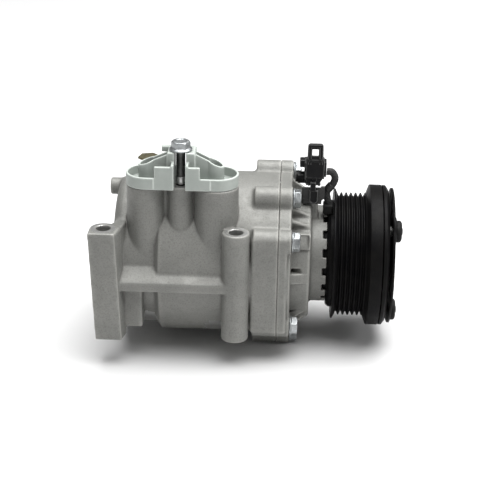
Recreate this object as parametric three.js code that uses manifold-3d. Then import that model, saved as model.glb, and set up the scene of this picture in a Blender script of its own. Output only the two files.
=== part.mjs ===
// Scroll compressor for a car's air conditioning, with its belt pulley and magnetic clutch.
// Millimetres. +X runs along the shaft towards the pulley, +Z runs up the mounting holes,
// and -Y is the side that carries the two mounting feet and the hose ports.
// Everything is laid out from the shaft axis, with x = 0 in the middle of the belt grooves;
// the whole group is then moved so that its box stands centred on the origin.
import * as THREE from 'three';
import { mergeVertices } from 'three/addons/utils/BufferGeometryUtils.js';
import Module from 'manifold-3d';

const wasm = await Module();
wasm.setup();

const TURN = 2 * Math.PI;
const GAP = 0.3; // clearance kept between pieces that touch
const ROUND = 24; // sides of the large round pieces

// ---------------------------------------------------------------- driving dimensions
// housings, stations along the shaft
const REAR_END_X = -172.5;
const STEP_X = -141;
const JOINT_X = -53;
const FLANGE_BACK_X = -71;
const FLANGE_FRONT_X = -43.6;
const RIM_FRONT_X = -46.2;
const SHOULDER_X = -31.5;
const NOSE_FACE_X = -20;
const NOSE_END_RIM_X = -17.6; // toothed rim round the back of the coil
const RIM_NOTCHES = 8;
const FIRST_NOTCH_ANGLE = 46;
const NOSE_END_X = 13;
// housings, radii
const REAR_R = 55.5;
const BODY_R = 60;
const BORE_R = 52.5;
const SHOULDER_R = 48;
const NOSE_R = 36;
const QUILL_R = 17.4; // the tube that carries the pulley bearing
const QUILL_BORE_R = 12;
const MAIN_SEAT_R = 23.8;
const CRANKCASE_R = 30;
// joint bolts: angle up from the near side and distance from the shaft
const JOINT_BOLTS = [
  [63.4, 60.5],
  [30.2, 61.5],
  [-39, 60.5],
  [-70, 60.2],
  [-125, 61],
  [172, 61],
  [110, 60.5],
];
const LUG_R = 8.4;
const STIFFENER_ANGLES = [2, 46, 97, 140, 202, 262, -55];
const BOLT_R = 4;
const BOLT_HEAD_H = 6;
const BOLT_AF = 12; // across the flats
const DOWEL_ANGLES = [86, -110];
const DOWEL_CIRCLE_R = 56.3;
const DOWEL_R = 1.9;
// mounting feet: holes run along Z, both end faces machined
const FOOT_TOP_Z = 39.5;
const FOOT_BOTTOM_Z = -44;
const FOOT_HOLE_R = 5.2;
const FOOT_TUBE_R = 9.8;
const TUBE_X = -83;
const TUBE_Y = -58.2;
const BLOCK_X = -177;
const BLOCK_Y = -57.5;
const BLOCK_FRONT_Y = -69;
const FAR_TUBE_X = -123;
const FAR_TUBE_Y = 58.2;
// hose ports, standing up on the near side
const PORT_FACE_Z = 67.5;
const PORT_Y = -39;
const DISCHARGE_PORT = { x: -148.7, r: 13.4, bore: 7.6 };
const SUCTION_PORT = { x: -97.9, r: 15.8, bore: 9 };
const CAP_BOLT_X = -123.3;
const CAP_BOLT_BOSS_R = 8.6;
const RELIEF_VALVE = { x: -150.5, y: 4, stemR: 5 };
// rib between the two near feet
const RIB_FRONT_Y = -66;
const RIB_TOP_Z = 8.5;
const RIB_EDGE_Z = 0.4;
const RIB_BOTTOM_Z = -5.4;
// scroll set
const ORBIT_R = 4.3;
const BASE_CIRCLE_R = 2.8;
const WRAP_T = 4;
const WRAP_START = 1.25 * Math.PI;
const WRAP_END = 4.5 * Math.PI;
const WRAP_STEPS = 36;
const ORBIT_FACE_X = -58.2;
const ORBIT_PLATE_X = -65.8;
const WRAP_FIXED_X = -104.5;
const FIXED_BACK_X = -112;
const ORBIT_PLATE_R = 45.5;
const HUB_END_X = -45;
const FIXED_R = 52.2;
const FIXED_RIM_R = 47.6;
const PIN_CIRCLE_R = 37;
const PIN_R = 2.5;
const PIN_ANGLES = [30, 150, 270];
// reed that covers the discharge hole on the back of the fixed scroll
const REED = { rootZ: 28, tipZ: -7, half: 5.5, x: [-112.8, -112.35] };
// shaft
const JOURNAL_R = 10;
const SHAFT_R = 7.5;
const SPLINE_R = 6.5;
const SHAFT_END_X = 27;
const CRANK_R = 5;
const BUSH_R = 11.7;
// pulley: six ribs at the standard pitch of a poly-V belt
const RIB_PITCH = 3.56;
const RIB_COUNT = 6;
const GROOVE_TIP_R = 46.2;
const GROOVE_ROOT_R = 43.4;
const PULLEY_FLANGE_R = 48.9;
const PULLEY_BACK_X = -12.9;
const DRUM_R = 52.6;
const DRUM_START_X = 13.4;
const PULLEY_FRONT_X = 22.1;
const PULLEY_BORE_R = 27.8;
const COIL_SPACE = { inner: 31.6, outer: 41, end: 17.4 };
const COIL_BACK_X = -19.6;
// clutch plate and hub
const ARMATURE_X = [22.9, 27.2];
const ARMATURE_R = 52.4;
const HUB_PLATE_X = [29.3, 31.1];
const HUB_PLATE_R = 50.5;
const DAMPER_CIRCLE_R = 41;
const DAMPER_ANGLES = [48.5, 168.5, -71.5];
const DAMPER_R = 8;
const DAMPER_END_X = 35.9;
// coil connector
const PLUG_Y = -9.7;
const BRACKET_SCREW_X = -31;
// bearings
const MAIN_BEARING = { x: [-37, -23], outer: 23.5, inner: 10.3, balls: 7 };
const PULLEY_BEARING = { x: [-9, 11], outer: 27.5, inner: 17.7, balls: 9 };

const MATERIALS = {
  casting: ['#a3a19c', 0.55, 0.6],
  alloy: ['#b3b6b6', 0.4, 0.8],
  steel: ['#8d9196', 0.35, 0.9],
  zinc: ['#b4bcc0', 0.35, 0.85],
  black: ['#141415', 0.4, 0.3],
  rubber: ['#101010', 0.8, 0],
  blackPlastic: ['#191a1b', 0.5, 0],
  capPlastic: ['#b3bdb4', 0.5, 0],
  copper: ['#a5642f', 0.4, 0.8],
  brass: ['#8f8152', 0.45, 0.8],
  seal: ['#1d2a22', 0.7, 0],
};

// ---------------------------------------------------------------- solids
// Turn a geometry's faces outwards and keep only its positions.
function closed(geometry) {
  const bare = geometry.clone();
  for (const name of Object.keys(bare.attributes)) {
    if (name !== 'position') bare.deleteAttribute(name);
  }
  const merged = mergeVertices(bare, 1e-4);
  const place = merged.getAttribute('position');
  const index = Array.from(merged.index.array);
  const corners = [new THREE.Vector3(), new THREE.Vector3(), new THREE.Vector3()];
  let volume = 0;
  const kept = [];
  for (let i = 0; i < index.length; i += 3) {
    const [a, b, c] = index.slice(i, i + 3);
    if (a === b || b === c || c === a) continue;
    kept.push(a, b, c);
    corners[0].fromBufferAttribute(place, a);
    corners[1].fromBufferAttribute(place, b);
    corners[2].fromBufferAttribute(place, c);
    volume += corners[0].dot(corners[1].clone().cross(corners[2])) / 6;
  }
  if (volume < 0) kept.reverse();
  merged.setIndex(kept);
  return merged;
}

function solid(shape) {
  if (!shape.isBufferGeometry) return shape;
  const geometry = closed(shape);
  return new wasm.Manifold(new wasm.Mesh({
    numProp: 3,
    vertProperties: new Float32Array(geometry.getAttribute('position').array),
    triVerts: new Uint32Array(geometry.index.array),
  }));
}

function join(...shapes) {
  return shapes.map(solid).reduce((whole, next) => whole.add(next));
}

function cut(shape, ...tools) {
  return tools.map(solid).reduce((whole, tool) => whole.subtract(tool), solid(shape));
}

function keep(shape, limit) {
  return solid(shape).intersect(solid(limit));
}

function geometryOf(shape) {
  if (shape.isBufferGeometry) return closed(shape);
  const mesh = shape.getMesh();
  const geometry = new THREE.BufferGeometry();
  geometry.setAttribute('position', new THREE.BufferAttribute(mesh.vertProperties, 3));
  geometry.setIndex(new THREE.BufferAttribute(mesh.triVerts, 1));
  return geometry;
}

// Point on a circle round the shaft; the angle is measured up from the near side (-Y).
function around(angle, radius) {
  const a = THREE.MathUtils.degToRad(angle);
  return { y: -radius * Math.cos(a), z: radius * Math.sin(a) };
}

function box(x, y, z) {
  const g = new THREE.BoxGeometry(x[1] - x[0], y[1] - y[0], z[1] - z[0]);
  return g.translate((x[0] + x[1]) / 2, (y[0] + y[1]) / 2, (z[0] + z[1]) / 2);
}

// Round bar along X from x0 to x1, centred on (y, z).
function barX(r, x0, x1, y = 0, z = 0, sides = 16) {
  const g = new THREE.CylinderGeometry(r, r, x1 - x0, sides);
  return g.rotateZ(-Math.PI / 2).translate((x0 + x1) / 2, y, z);
}

// Round bar along Z from z0 to z1, centred on (x, y).
function barZ(r, z0, z1, x, y, sides = 16) {
  const g = new THREE.CylinderGeometry(r, r, z1 - z0, sides);
  return g.rotateX(Math.PI / 2).translate(x, y, (z0 + z1) / 2);
}

// Ring or turned piece about a line along X; the profile is a closed loop of [x, radius].
function turned(profile, sides = ROUND, y = 0, z = 0) {
  const loop = [...profile, profile[0]].map(([x, r]) => new THREE.Vector2(r, x));
  return new THREE.LatheGeometry(loop, sides).rotateZ(-Math.PI / 2).translate(0, y, z);
}

function ring(x0, x1, rIn, rOut, sides = 20, y = 0, z = 0) {
  return turned([[x0, rIn], [x1, rIn], [x1, rOut], [x0, rOut]], sides, y, z);
}

// Plate drawn in (x, y) and extruded along Z.
function plateZ(points, z0, z1) {
  const shape = new THREE.Shape(points.map(([x, y]) => new THREE.Vector2(x, y)));
  return new THREE.ExtrudeGeometry(shape, { depth: z1 - z0, bevelEnabled: false }).translate(0, 0, z0);
}

// Plate drawn in (y, z) and extruded along X.
function plateX(points, x0, x1) {
  const shape = new THREE.Shape(points.map(([y, z]) => new THREE.Vector2(y, z)));
  const g = new THREE.ExtrudeGeometry(shape, { depth: x1 - x0, bevelEnabled: false });
  const axes = new THREE.Matrix4().makeBasis(
    new THREE.Vector3(0, 1, 0), new THREE.Vector3(0, 0, 1), new THREE.Vector3(1, 0, 0),
  );
  return g.applyMatrix4(axes).translate(x0, 0, 0);
}

// Plate drawn in (x, z) and extruded along Y.
function plateY(points, y0, y1) {
  const shape = new THREE.Shape(points.map(([x, z]) => new THREE.Vector2(x, z)));
  const g = new THREE.ExtrudeGeometry(shape, { depth: y1 - y0, bevelEnabled: false });
  return g.rotateX(Math.PI / 2).translate(0, y1, 0);
}

function hexBar(acrossFlats, x0, x1, y, z, turn = 0) {
  const g = new THREE.CylinderGeometry(acrossFlats / Math.sqrt(3), acrossFlats / Math.sqrt(3), x1 - x0, 6);
  return g.rotateY(turn).rotateZ(-Math.PI / 2).translate((x0 + x1) / 2, y, z);
}

// Stadium outline in the XY plane: a bar of half-width r between two centres on one line.
function stadium(xa, xb, y, r, steps = 10) {
  const points = [];
  for (let i = 0; i <= steps; i += 1) {
    const a = -Math.PI / 2 + (Math.PI * i) / steps;
    points.push([xb + r * Math.cos(a), y + r * Math.sin(a)]);
  }
  for (let i = 0; i <= steps; i += 1) {
    const a = Math.PI / 2 + (Math.PI * i) / steps;
    points.push([xa + r * Math.cos(a), y + r * Math.sin(a)]);
  }
  return points;
}

// ---------------------------------------------------------------- scene
const compressor = new THREE.Group();
compressor.name = 'compressor';

function add(name, shape, material) {
  const [color, roughness, metalness] = MATERIALS[material];
  const mesh = new THREE.Mesh(
    geometryOf(shape),
    new THREE.MeshStandardMaterial({ color, roughness, metalness }),
  );
  mesh.name = name;
  compressor.add(mesh);
  return mesh;
}

// ---------------------------------------------------------------- housings
// Outline that both housings share at the joint: a disc, a flat on the near side, bolt lugs.
function flangeSection(x0, x1) {
  const lugs = JOINT_BOLTS.map(([angle, radius]) => {
    const { y, z } = around(angle, radius);
    const inner = around(angle, radius - 14);
    const across = around(angle + 90, LUG_R);
    const web = [
      [y + across.y, z + across.z],
      [y - across.y, z - across.z],
      [inner.y - across.y, inner.z - across.z],
      [inner.y + across.y, inner.z + across.z],
    ];
    return join(barX(LUG_R, x0, x1, y, z, 12), plateX(web, x0, x1));
  });
  return join(barX(BODY_R, x0, x1, 0, 0, ROUND), ...lugs);
}

function portColumns() {
  const ports = [DISCHARGE_PORT, SUCTION_PORT].map(
    ({ x, r }) => barZ(r, 0, PORT_FACE_Z, x, PORT_Y, 24),
  );
  const boss = barZ(CAP_BOLT_BOSS_R, 0, PORT_FACE_Z, CAP_BOLT_X, PORT_Y, 20);
  const saddle = box([DISCHARGE_PORT.x, SUCTION_PORT.x], [PORT_Y - 5, PORT_Y + 13], [10, PORT_FACE_Z]);
  return join(...ports, boss, saddle);
}

function nearFeet() {
  const tube = barZ(FOOT_TUBE_R, FOOT_BOTTOM_Z, FOOT_TOP_Z, TUBE_X, TUBE_Y, 20);
  const tubeWeb = box([TUBE_X - 8, TUBE_X + 8], [TUBE_Y, -30], [FOOT_BOTTOM_Z + 3, FOOT_TOP_Z - 5]);
  const lean = 3.8; // the block's front face leans this far towards the pulley at its foot
  const section = (shift) => [
    [-187 + shift, BLOCK_FRONT_Y],
    [-168 + shift, BLOCK_FRONT_Y],
    [-163.4 + shift, -46],
    [-163.4 + shift, -48],
    [-187 + shift, -48],
  ];
  const top = section(0);
  const bottom = section(lean);
  const block = prism(top, FOOT_TOP_Z, bottom, FOOT_BOTTOM_Z);
  const blockWeb = box([REAR_END_X, -161.5], [-58, -20], [-40, FOOT_TOP_Z - 1]);
  const rib = plateX(
    [
      [-45, RIB_TOP_Z + 4],
      [-56, RIB_TOP_Z],
      [RIB_FRONT_Y, RIB_EDGE_Z],
      [RIB_FRONT_Y, RIB_BOTTOM_Z],
      [-45, RIB_BOTTOM_Z],
    ],
    -166,
    TUBE_X,
  );
  const pad = box([-161, -150], [-59, -40], [-37, 0]);
  return join(tube, tubeWeb, block, blockWeb, rib, pad);
}

// Loft between two outlines of the same number of points, at two heights.
function prism(topPoints, topZ, bottomPoints, bottomZ) {
  const n = topPoints.length;
  const corners = [
    ...topPoints.map(([x, y]) => [x, y, topZ]),
    ...bottomPoints.map(([x, y]) => [x, y, bottomZ]),
  ];
  const index = [];
  for (let i = 0; i < n; i += 1) {
    const j = (i + 1) % n;
    index.push(i, i + n, j, j, i + n, j + n);
  }
  for (let i = 1; i < n - 1; i += 1) {
    index.push(0, i, i + 1);
    index.push(n, n + i + 1, n + i);
  }
  const g = new THREE.BufferGeometry();
  g.setAttribute('position', new THREE.Float32BufferAttribute(corners.flat(), 3));
  g.setIndex(index);
  return g;
}

function rearHousing() {
  const chamfer = 8;
  const shell = join(
    turned(
      [
        [REAR_END_X, 0],
        [REAR_END_X, REAR_R - chamfer],
        [REAR_END_X + chamfer, REAR_R],
        [STEP_X, REAR_R],
        [STEP_X + 2, BODY_R],
        [JOINT_X, BODY_R],
        [JOINT_X, 0],
      ],
    ),
    flangeSection(FLANGE_BACK_X, JOINT_X),
    box([FLANGE_BACK_X - 1, JOINT_X], [-60.5, -30], [-39, 35]),
    portColumns(),
    nearFeet(),
    barZ(FOOT_TUBE_R, FOOT_BOTTOM_Z, FOOT_TOP_Z, FAR_TUBE_X, FAR_TUBE_Y, 16),
    box([FAR_TUBE_X - 8, FAR_TUBE_X + 8], [30, FAR_TUBE_Y], [FOOT_BOTTOM_Z + 3, FOOT_TOP_Z - 5]),
    barX(6.3, -181.6, -165, 10, 45.5, 18),
    barZ(10, 30, 60, RELIEF_VALVE.x, RELIEF_VALVE.y, 20),
  );
  const boltHoles = JOINT_BOLTS.map(([angle, radius]) => {
    const { y, z } = around(angle, radius);
    return barX(BOLT_R + GAP, -68, JOINT_X + 1, y, z, 8);
  });
  const dowelHoles = DOWEL_ANGLES.map((angle) => {
    const { y, z } = around(angle, DOWEL_CIRCLE_R);
    return barX(DOWEL_R + GAP, -58.5, JOINT_X + 1, y, z, 8);
  });
  const [zLow, zHigh] = [FOOT_BOTTOM_Z - 1, FOOT_TOP_Z + 1];
  return cut(
    shell,
    barX(BORE_R, FIXED_BACK_X - GAP, JOINT_X + 1, 0, 0, ROUND),
    barX(BORE_R - 5, -167, FIXED_BACK_X, 0, 0, ROUND),
    barZ(DISCHARGE_PORT.bore, 5, PORT_FACE_Z + 1, DISCHARGE_PORT.x, PORT_Y, 20),
    barZ(SUCTION_PORT.bore, 5, PORT_FACE_Z + 1, SUCTION_PORT.x, PORT_Y, 20),
    barZ(3.6, 44, PORT_FACE_Z + 1, CAP_BOLT_X, PORT_Y, 12),
    barZ(FOOT_HOLE_R, zLow, zHigh, TUBE_X, TUBE_Y, 12),
    barZ(FOOT_HOLE_R, zLow, zHigh, BLOCK_X, BLOCK_Y, 12),
    barZ(FOOT_HOLE_R, zLow, zHigh, FAR_TUBE_X, FAR_TUBE_Y, 12),
    barZ(RELIEF_VALVE.stemR + GAP, 20, 61, RELIEF_VALVE.x, RELIEF_VALVE.y, 16),
    ...boltHoles,
    ...dowelHoles,
  );
}

function frontHousing() {
  const nearFlat = box([JOINT_X + 0.15, RIM_FRONT_X], [-60.5, -30], [-39, 35]);
  const lugs = keep(flangeSection(JOINT_X, FLANGE_FRONT_X), cut(
    box([JOINT_X, FLANGE_FRONT_X], [-90, 90], [-90, 90]),
    ring(RIM_FRONT_X, FLANGE_FRONT_X + 1, 52, 59.2, ROUND),
  ));
  const ribs = STIFFENER_ANGLES.map((angle) => {
    const rib = plateY(
      [
        [FLANGE_FRONT_X - 1, 34],
        [FLANGE_FRONT_X - 1, 57],
        [FLANGE_FRONT_X, 57],
        [SHOULDER_X - 1, 46],
        [SHOULDER_X - 1, 34],
      ],
      -2.2,
      2.2,
    );
    return rib.rotateX(THREE.MathUtils.degToRad(90 - angle));
  });
  const shell = join(
    lugs,
    nearFlat,
    turned([
      [-55.1, 0], [-55.1, 46], [-57.4, 46.2], [-57.4, 52.1], [-56.2, 52.1], [-56.2, 50], [-54.1, 50],
      [-54.1, 52.1], [JOINT_X + 0.15, 52.1], [JOINT_X + 0.15, 59.5], [RIM_FRONT_X, 59.5],
      [FLANGE_FRONT_X, SHOULDER_R + 3], [SHOULDER_X, SHOULDER_R], [SHOULDER_X + 1.5, 40],
      [SHOULDER_X + 1.5, NOSE_R], [NOSE_END_RIM_X, NOSE_R], [NOSE_END_RIM_X, NOSE_R - 2.2],
      [NOSE_FACE_X, NOSE_R - 2.2], [NOSE_FACE_X, QUILL_R],
      [11, QUILL_R], [11, 16.2], [12.5, 16.2], [12.5, QUILL_R - 0.4],
      [NOSE_END_X, QUILL_R - 0.4], [NOSE_END_X, 0],
    ]),
    ...ribs,
    box([-37, -25], [-15, -3], [30, 49.3]),
  );
  const boltHoles = JOINT_BOLTS.map(([angle, radius]) => {
    const { y, z } = around(angle, radius);
    return barX(BOLT_R + GAP, JOINT_X - 1, FLANGE_FRONT_X + 1, y, z, 8);
  });
  const dowelHoles = DOWEL_ANGLES.map((angle) => {
    const { y, z } = around(angle, DOWEL_CIRCLE_R);
    return barX(DOWEL_R + GAP, JOINT_X - 1, -48.5, y, z, 8);
  });
  const pinHoles = PIN_ANGLES.map((angle) => {
    const { y, z } = around(angle, PIN_CIRCLE_R);
    return barX(PIN_R + GAP, -56, -49.7, y, z, 8);
  });
  const notches = [];
  for (let i = 0; i < RIM_NOTCHES; i += 1) {
    const { y, z } = around(FIRST_NOTCH_ANGLE + (360 * i) / RIM_NOTCHES, NOSE_R);
    notches.push(barX(3.4, NOSE_FACE_X - 1.4, NOSE_END_RIM_X + 1, y, z, 4));
  }
  return cut(
    shell,
    barX(CRANKCASE_R, -60, -38, 0, 0, 24),
    barX(MAIN_SEAT_R, -39, -22.7, 0, 0, 24),
    barX(QUILL_BORE_R, -24, NOSE_END_X + 1, 0, 0, 24),
    barX(12.9, 8.4, 10, 0, 0, 24),
    barZ(2.3, 41, 50, BRACKET_SCREW_X, PLUG_Y, 10),
    ...boltHoles,
    ...dowelHoles,
    ...pinHoles,
    ...notches,
  );
}

add('rear_housing', rearHousing(), 'casting');
add('front_housing', frontHousing(), 'casting');
add('housing_o_ring', torus(51.15, 0.95, -55.15), 'seal');

function torus(radius, r, x, sides = ROUND, steps = 5) {
  const profile = [];
  for (let i = 0; i < steps; i += 1) {
    const a = (TURN * i) / steps;
    profile.push([x + r * Math.cos(a), radius + r * Math.sin(a)]);
  }
  return turned(profile, sides);
}

JOINT_BOLTS.forEach(([angle, radius], i) => {
  const { y, z } = around(angle, radius);
  const seat = FLANGE_FRONT_X + GAP;
  add(`joint_bolt_${i + 1}`, join(
    barX(BOLT_R - 0.2, -66, seat + 1, y, z, 8),
    barX(7.6, seat, seat + 1.6, y, z, 12),
    hexBar(BOLT_AF, seat + 1, seat + BOLT_HEAD_H, y, z, (Math.PI / 12) * i),
  ), 'zinc');
});

DOWEL_ANGLES.forEach((angle, i) => {
  const { y, z } = around(angle, DOWEL_CIRCLE_R);
  add(`dowel_pin_${i + 1}`, barX(DOWEL_R, -58, -49, y, z, 8), 'steel');
});

// ---------------------------------------------------------------- scroll set
// Wrap of even thickness along an involute of the base circle, as a plate in (y, z).
function wrapOutline(turn) {
  const half = WRAP_T / (2 * BASE_CIRCLE_R);
  const side = (offset) => {
    const points = [];
    for (let i = 0; i <= WRAP_STEPS; i += 1) {
      const t = WRAP_START + ((WRAP_END - WRAP_START) * i) / WRAP_STEPS;
      const u = t + offset;
      const y = BASE_CIRCLE_R * (Math.cos(t) + u * Math.sin(t));
      const z = BASE_CIRCLE_R * (Math.sin(t) - u * Math.cos(t));
      points.push([y * Math.cos(turn) - z * Math.sin(turn), y * Math.sin(turn) + z * Math.cos(turn)]);
    }
    return points;
  };
  return [...side(half), ...side(-half).reverse()];
}

function fixedScroll() {
  const body = join(
    barX(FIXED_R, FIXED_BACK_X, WRAP_FIXED_X, 0, 0, ROUND),
    ring(WRAP_FIXED_X - 1, ORBIT_PLATE_X - 1, FIXED_RIM_R, FIXED_R, ROUND),
    plateX(wrapOutline(0), WRAP_FIXED_X - 1, ORBIT_PLATE_X - GAP),
  );
  return cut(
    body,
    barX(5, FIXED_BACK_X - 1, WRAP_FIXED_X + 1, 0, 0, 16),
    box([SUCTION_PORT.x - 6, SUCTION_PORT.x + 14], [-60, -20], [14, 48]),
    ring(-109.5, -107, 50.2, FIXED_R + 1, ROUND),
    barX(2.3, FIXED_BACK_X - 1, -106, 0, REED.rootZ, 10),
  );
}

function orbitingScroll() {
  const pockets = PIN_ANGLES.map((angle) => {
    const { y, z } = around(angle, PIN_CIRCLE_R);
    return barX(ORBIT_R + PIN_R + 0.5, -63, ORBIT_FACE_X + 1, y, z + ORBIT_R, 16);
  });
  const wrap = plateX(wrapOutline(Math.PI), WRAP_FIXED_X + GAP, ORBIT_PLATE_X + 1).translate(0, 0, ORBIT_R);
  return cut(
    join(
      barX(ORBIT_PLATE_R, ORBIT_PLATE_X, ORBIT_FACE_X, 0, ORBIT_R, ROUND),
      barX(19.5, ORBIT_FACE_X - 1, HUB_END_X, 0, ORBIT_R, 24),
      wrap,
    ),
    barX(16.4, -56.5, HUB_END_X + 1, 0, ORBIT_R, 24),
    ...pockets,
  );
}

add('fixed_scroll', fixedScroll(), 'alloy');
add('fixed_scroll_o_ring', torus(51.3, 0.8, -108.25), 'seal');
add('orbiting_scroll', orbitingScroll(), 'alloy');
add('drive_bearing', ring(-56, -45.5, 12, 16, 24, 0, ORBIT_R), 'steel');
add('eccentric_bush', ring(-55.5, -45.5, CRANK_R + GAP, BUSH_R, 24, 0, ORBIT_R), 'steel');
add('thrust_plate', cut(
  ring(-57.9, -55.4, CRANKCASE_R, 45.6, ROUND),
  ...PIN_ANGLES.map((angle) => {
    const { y, z } = around(angle, PIN_CIRCLE_R);
    return barX(PIN_R + GAP, -59, -54, y, z, 8);
  }),
), 'steel');
PIN_ANGLES.forEach((angle, i) => {
  const { y, z } = around(angle, PIN_CIRCLE_R);
  add(`anti_rotation_pin_${i + 1}`, barX(PIN_R - 0.1, -62, -50, y, z, 8), 'steel');
});
add('discharge_reed', cut(
  box(REED.x, [-REED.half, REED.half], [REED.tipZ, REED.rootZ + 4]),
  barX(3, REED.x[0] - 1, REED.x[1] + 1, 0, REED.rootZ, 12),
), 'steel');
add('reed_stop', cut(
  plateY(
    [[-113.15, REED.rootZ + 4], [-115.4, REED.rootZ + 4], [-115.4, REED.rootZ - 5],
      [-118.6, REED.tipZ], [-116.4, REED.tipZ], [-113.15, REED.rootZ - 5]],
    -REED.half,
    REED.half,
  ),
  barX(2.3, -120, -110, 0, REED.rootZ, 12),
), 'steel');
add('reed_screw', join(
  barX(2, -116, -107, 0, REED.rootZ, 10),
  barX(4, -118, -115.7, 0, REED.rootZ, 12),
), 'steel');

// ---------------------------------------------------------------- shaft and its bearings
add('crankshaft', join(
  turned([
    [-42, 0], [-42, 15], [-38.4, 15], [-38.4, 12.4], [-37.3, 12.4], [-37.3, JOURNAL_R],
    [-20, JOURNAL_R], [-18.5, SHAFT_R], [NOSE_END_X, SHAFT_R], [NOSE_END_X, SPLINE_R],
    [SHAFT_END_X, SPLINE_R], [SHAFT_END_X, 3.3], [15, 3.3], [15, 0],
  ], 24),
  barX(CRANK_R, -55, -41, 0, ORBIT_R, 16),
), 'steel');

function counterweight() {
  const whole = ring(-44.4, -39.2, 15.3, 28.6, 24);
  return keep(whole, box([-50, -30], [-40, 40], [-40, -2]));
}
add('counterweight', counterweight(), 'steel');

// Deep-groove ball bearing: outer ring, inner ring, and the balls held in their cage.
function addBearing(name, { x, outer, inner, balls }) {
  const wall = (outer - inner) * 0.24;
  const middle = (outer + inner) / 2;
  const centre = (x[0] + x[1]) / 2;
  const ballR = middle - inner - wall - GAP;
  const cage = ring(centre - 1.2, centre + 1.2, middle - 0.9, middle + 0.9, 12);
  const set = [];
  for (let i = 0; i < balls; i += 1) {
    const { y, z } = around((360 * i) / balls, middle);
    set.push(new THREE.SphereGeometry(ballR, 6, 4).translate(centre, y, z));
  }
  add(`${name}_outer_ring`, ring(x[0], x[1], outer - wall, outer, 24), 'steel');
  add(`${name}_inner_ring`, ring(x[0], x[1], inner, inner + wall, 24), 'steel');
  add(`${name}_cage`, join(cage, ...set), 'brass');
}
addBearing('main_bearing', MAIN_BEARING);
addBearing('pulley_bearing', PULLEY_BEARING);

add('nose_bearing', ring(-16, -6, SHAFT_R + GAP, QUILL_BORE_R - GAP, 24), 'steel');
add('shaft_seal', ring(-1, 7.8, SHAFT_R + GAP, QUILL_BORE_R - GAP, 24), 'seal');
add('seal_retaining_ring', ring(8.7, 9.7, 9.8, 12.5), 'steel');
add('bearing_retaining_ring', cut(
  ring(11.3, 12.2, 16.5, 20),
  box([10, 14], [-2, 2], [10, 25]),
), 'steel');

// ---------------------------------------------------------------- pulley, coil and clutch
function pulleyProfile() {
  const first = -(RIB_COUNT * RIB_PITCH) / 2;
  const grooves = [];
  for (let i = 0; i < RIB_COUNT; i += 1) {
    const x = first + RIB_PITCH * i;
    grooves.push([x + RIB_PITCH / 2, GROOVE_ROOT_R]);
    if (i < RIB_COUNT - 1) grooves.push([x + RIB_PITCH, GROOVE_TIP_R]);
  }
  return [
    [PULLEY_BACK_X, 42.5],
    [PULLEY_BACK_X, PULLEY_FLANGE_R],
    [PULLEY_BACK_X + 1.2, PULLEY_FLANGE_R],
    ...grooves,
    [-first + 0.3, GROOVE_TIP_R],
    [DRUM_START_X, DRUM_R],
    [PULLEY_FRONT_X, DRUM_R],
    [PULLEY_FRONT_X, PULLEY_BORE_R + 6],
    [PULLEY_FRONT_X - 3, PULLEY_BORE_R],
    [-9.6, PULLEY_BORE_R],
    [-9.6, COIL_SPACE.inner],
    [COIL_SPACE.end, COIL_SPACE.inner],
    [COIL_SPACE.end, COIL_SPACE.outer],
    [PULLEY_BACK_X + 1, COIL_SPACE.outer],
  ];
}
add('pulley', turned(pulleyProfile()), 'black');

add('coil_shell', turned([
  [COIL_BACK_X, 21], [COIL_BACK_X, 33.4], [-17.1, 33.4], [-17.1, 38.4], [-15, 40.2], [13.5, 40.2],
  [13.5, 38.6], [-15.4, 38.6], [-15.4, 33.9], [13.5, 33.9], [13.5, 32.2], [-17.8, 32.2], [-17.8, 21],
], 28), 'black');
add('coil_winding', ring(-15, 13, 34.4, 38, 28), 'copper');
add('coil_retaining_ring', ring(-17.5, -16.3, QUILL_R + GAP, 24), 'steel');

add('armature_plate', turned([
  [ARMATURE_X[0], 30],
  [ARMATURE_X[0], ARMATURE_R],
  [ARMATURE_X[1] - 1.6, ARMATURE_R],
  [ARMATURE_X[1], ARMATURE_R - 3.5],
  [ARMATURE_X[1], 30],
]), 'black');

add('clutch_hub', cut(
  join(
    turned([
      [NOSE_END_X + 1.6, SPLINE_R + GAP],
      [NOSE_END_X + 1.6, 11.5],
      [HUB_PLATE_X[0], 14],
      [HUB_PLATE_X[0], HUB_PLATE_R],
      [HUB_PLATE_X[1], HUB_PLATE_R],
      [HUB_PLATE_X[1], 14],
      [32.4, 12],
      [32.4, 8.4],
      [28.3, 8.4],
      [28.3, SPLINE_R + GAP],
    ]),
  ),
  ...DAMPER_ANGLES.map((angle) => {
    const { y, z } = around(angle, DAMPER_CIRCLE_R);
    return barX(3.2, 28, 33, y, z, 14);
  }),
), 'black');
add('hub_shim', ring(NOSE_END_X + GAP, NOSE_END_X + 1.3, SPLINE_R + GAP, 9, 24), 'steel');
add('hub_bolt', join(
  barX(3, 16, 30, 0, 0, 12),
  barX(7.6, 28.7, 30.8, 0, 0, 20),
  hexBar(12, 30, 34.4, 0, 0),
), 'zinc');
DAMPER_ANGLES.forEach((angle, i) => {
  const { y, z } = around(angle, DAMPER_CIRCLE_R);
  add(`hub_damper_${i + 1}`, turned([
    [HUB_PLATE_X[1] + GAP, 3.2],
    [HUB_PLATE_X[1] + GAP, DAMPER_R],
    [DAMPER_END_X - 1.5, DAMPER_R],
    [DAMPER_END_X, DAMPER_R - 1.5],
    [DAMPER_END_X, 3.2],
  ], 12, y, z), 'rubber');
  add(`armature_rivet_${i + 1}`, join(
    barX(2.4, ARMATURE_X[1] + GAP, DAMPER_END_X + 0.8, y, z, 12),
    barX(4, ARMATURE_X[1] + GAP, HUB_PLATE_X[0] - 0.9, y, z, 14),
  ), 'steel');
});

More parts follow.
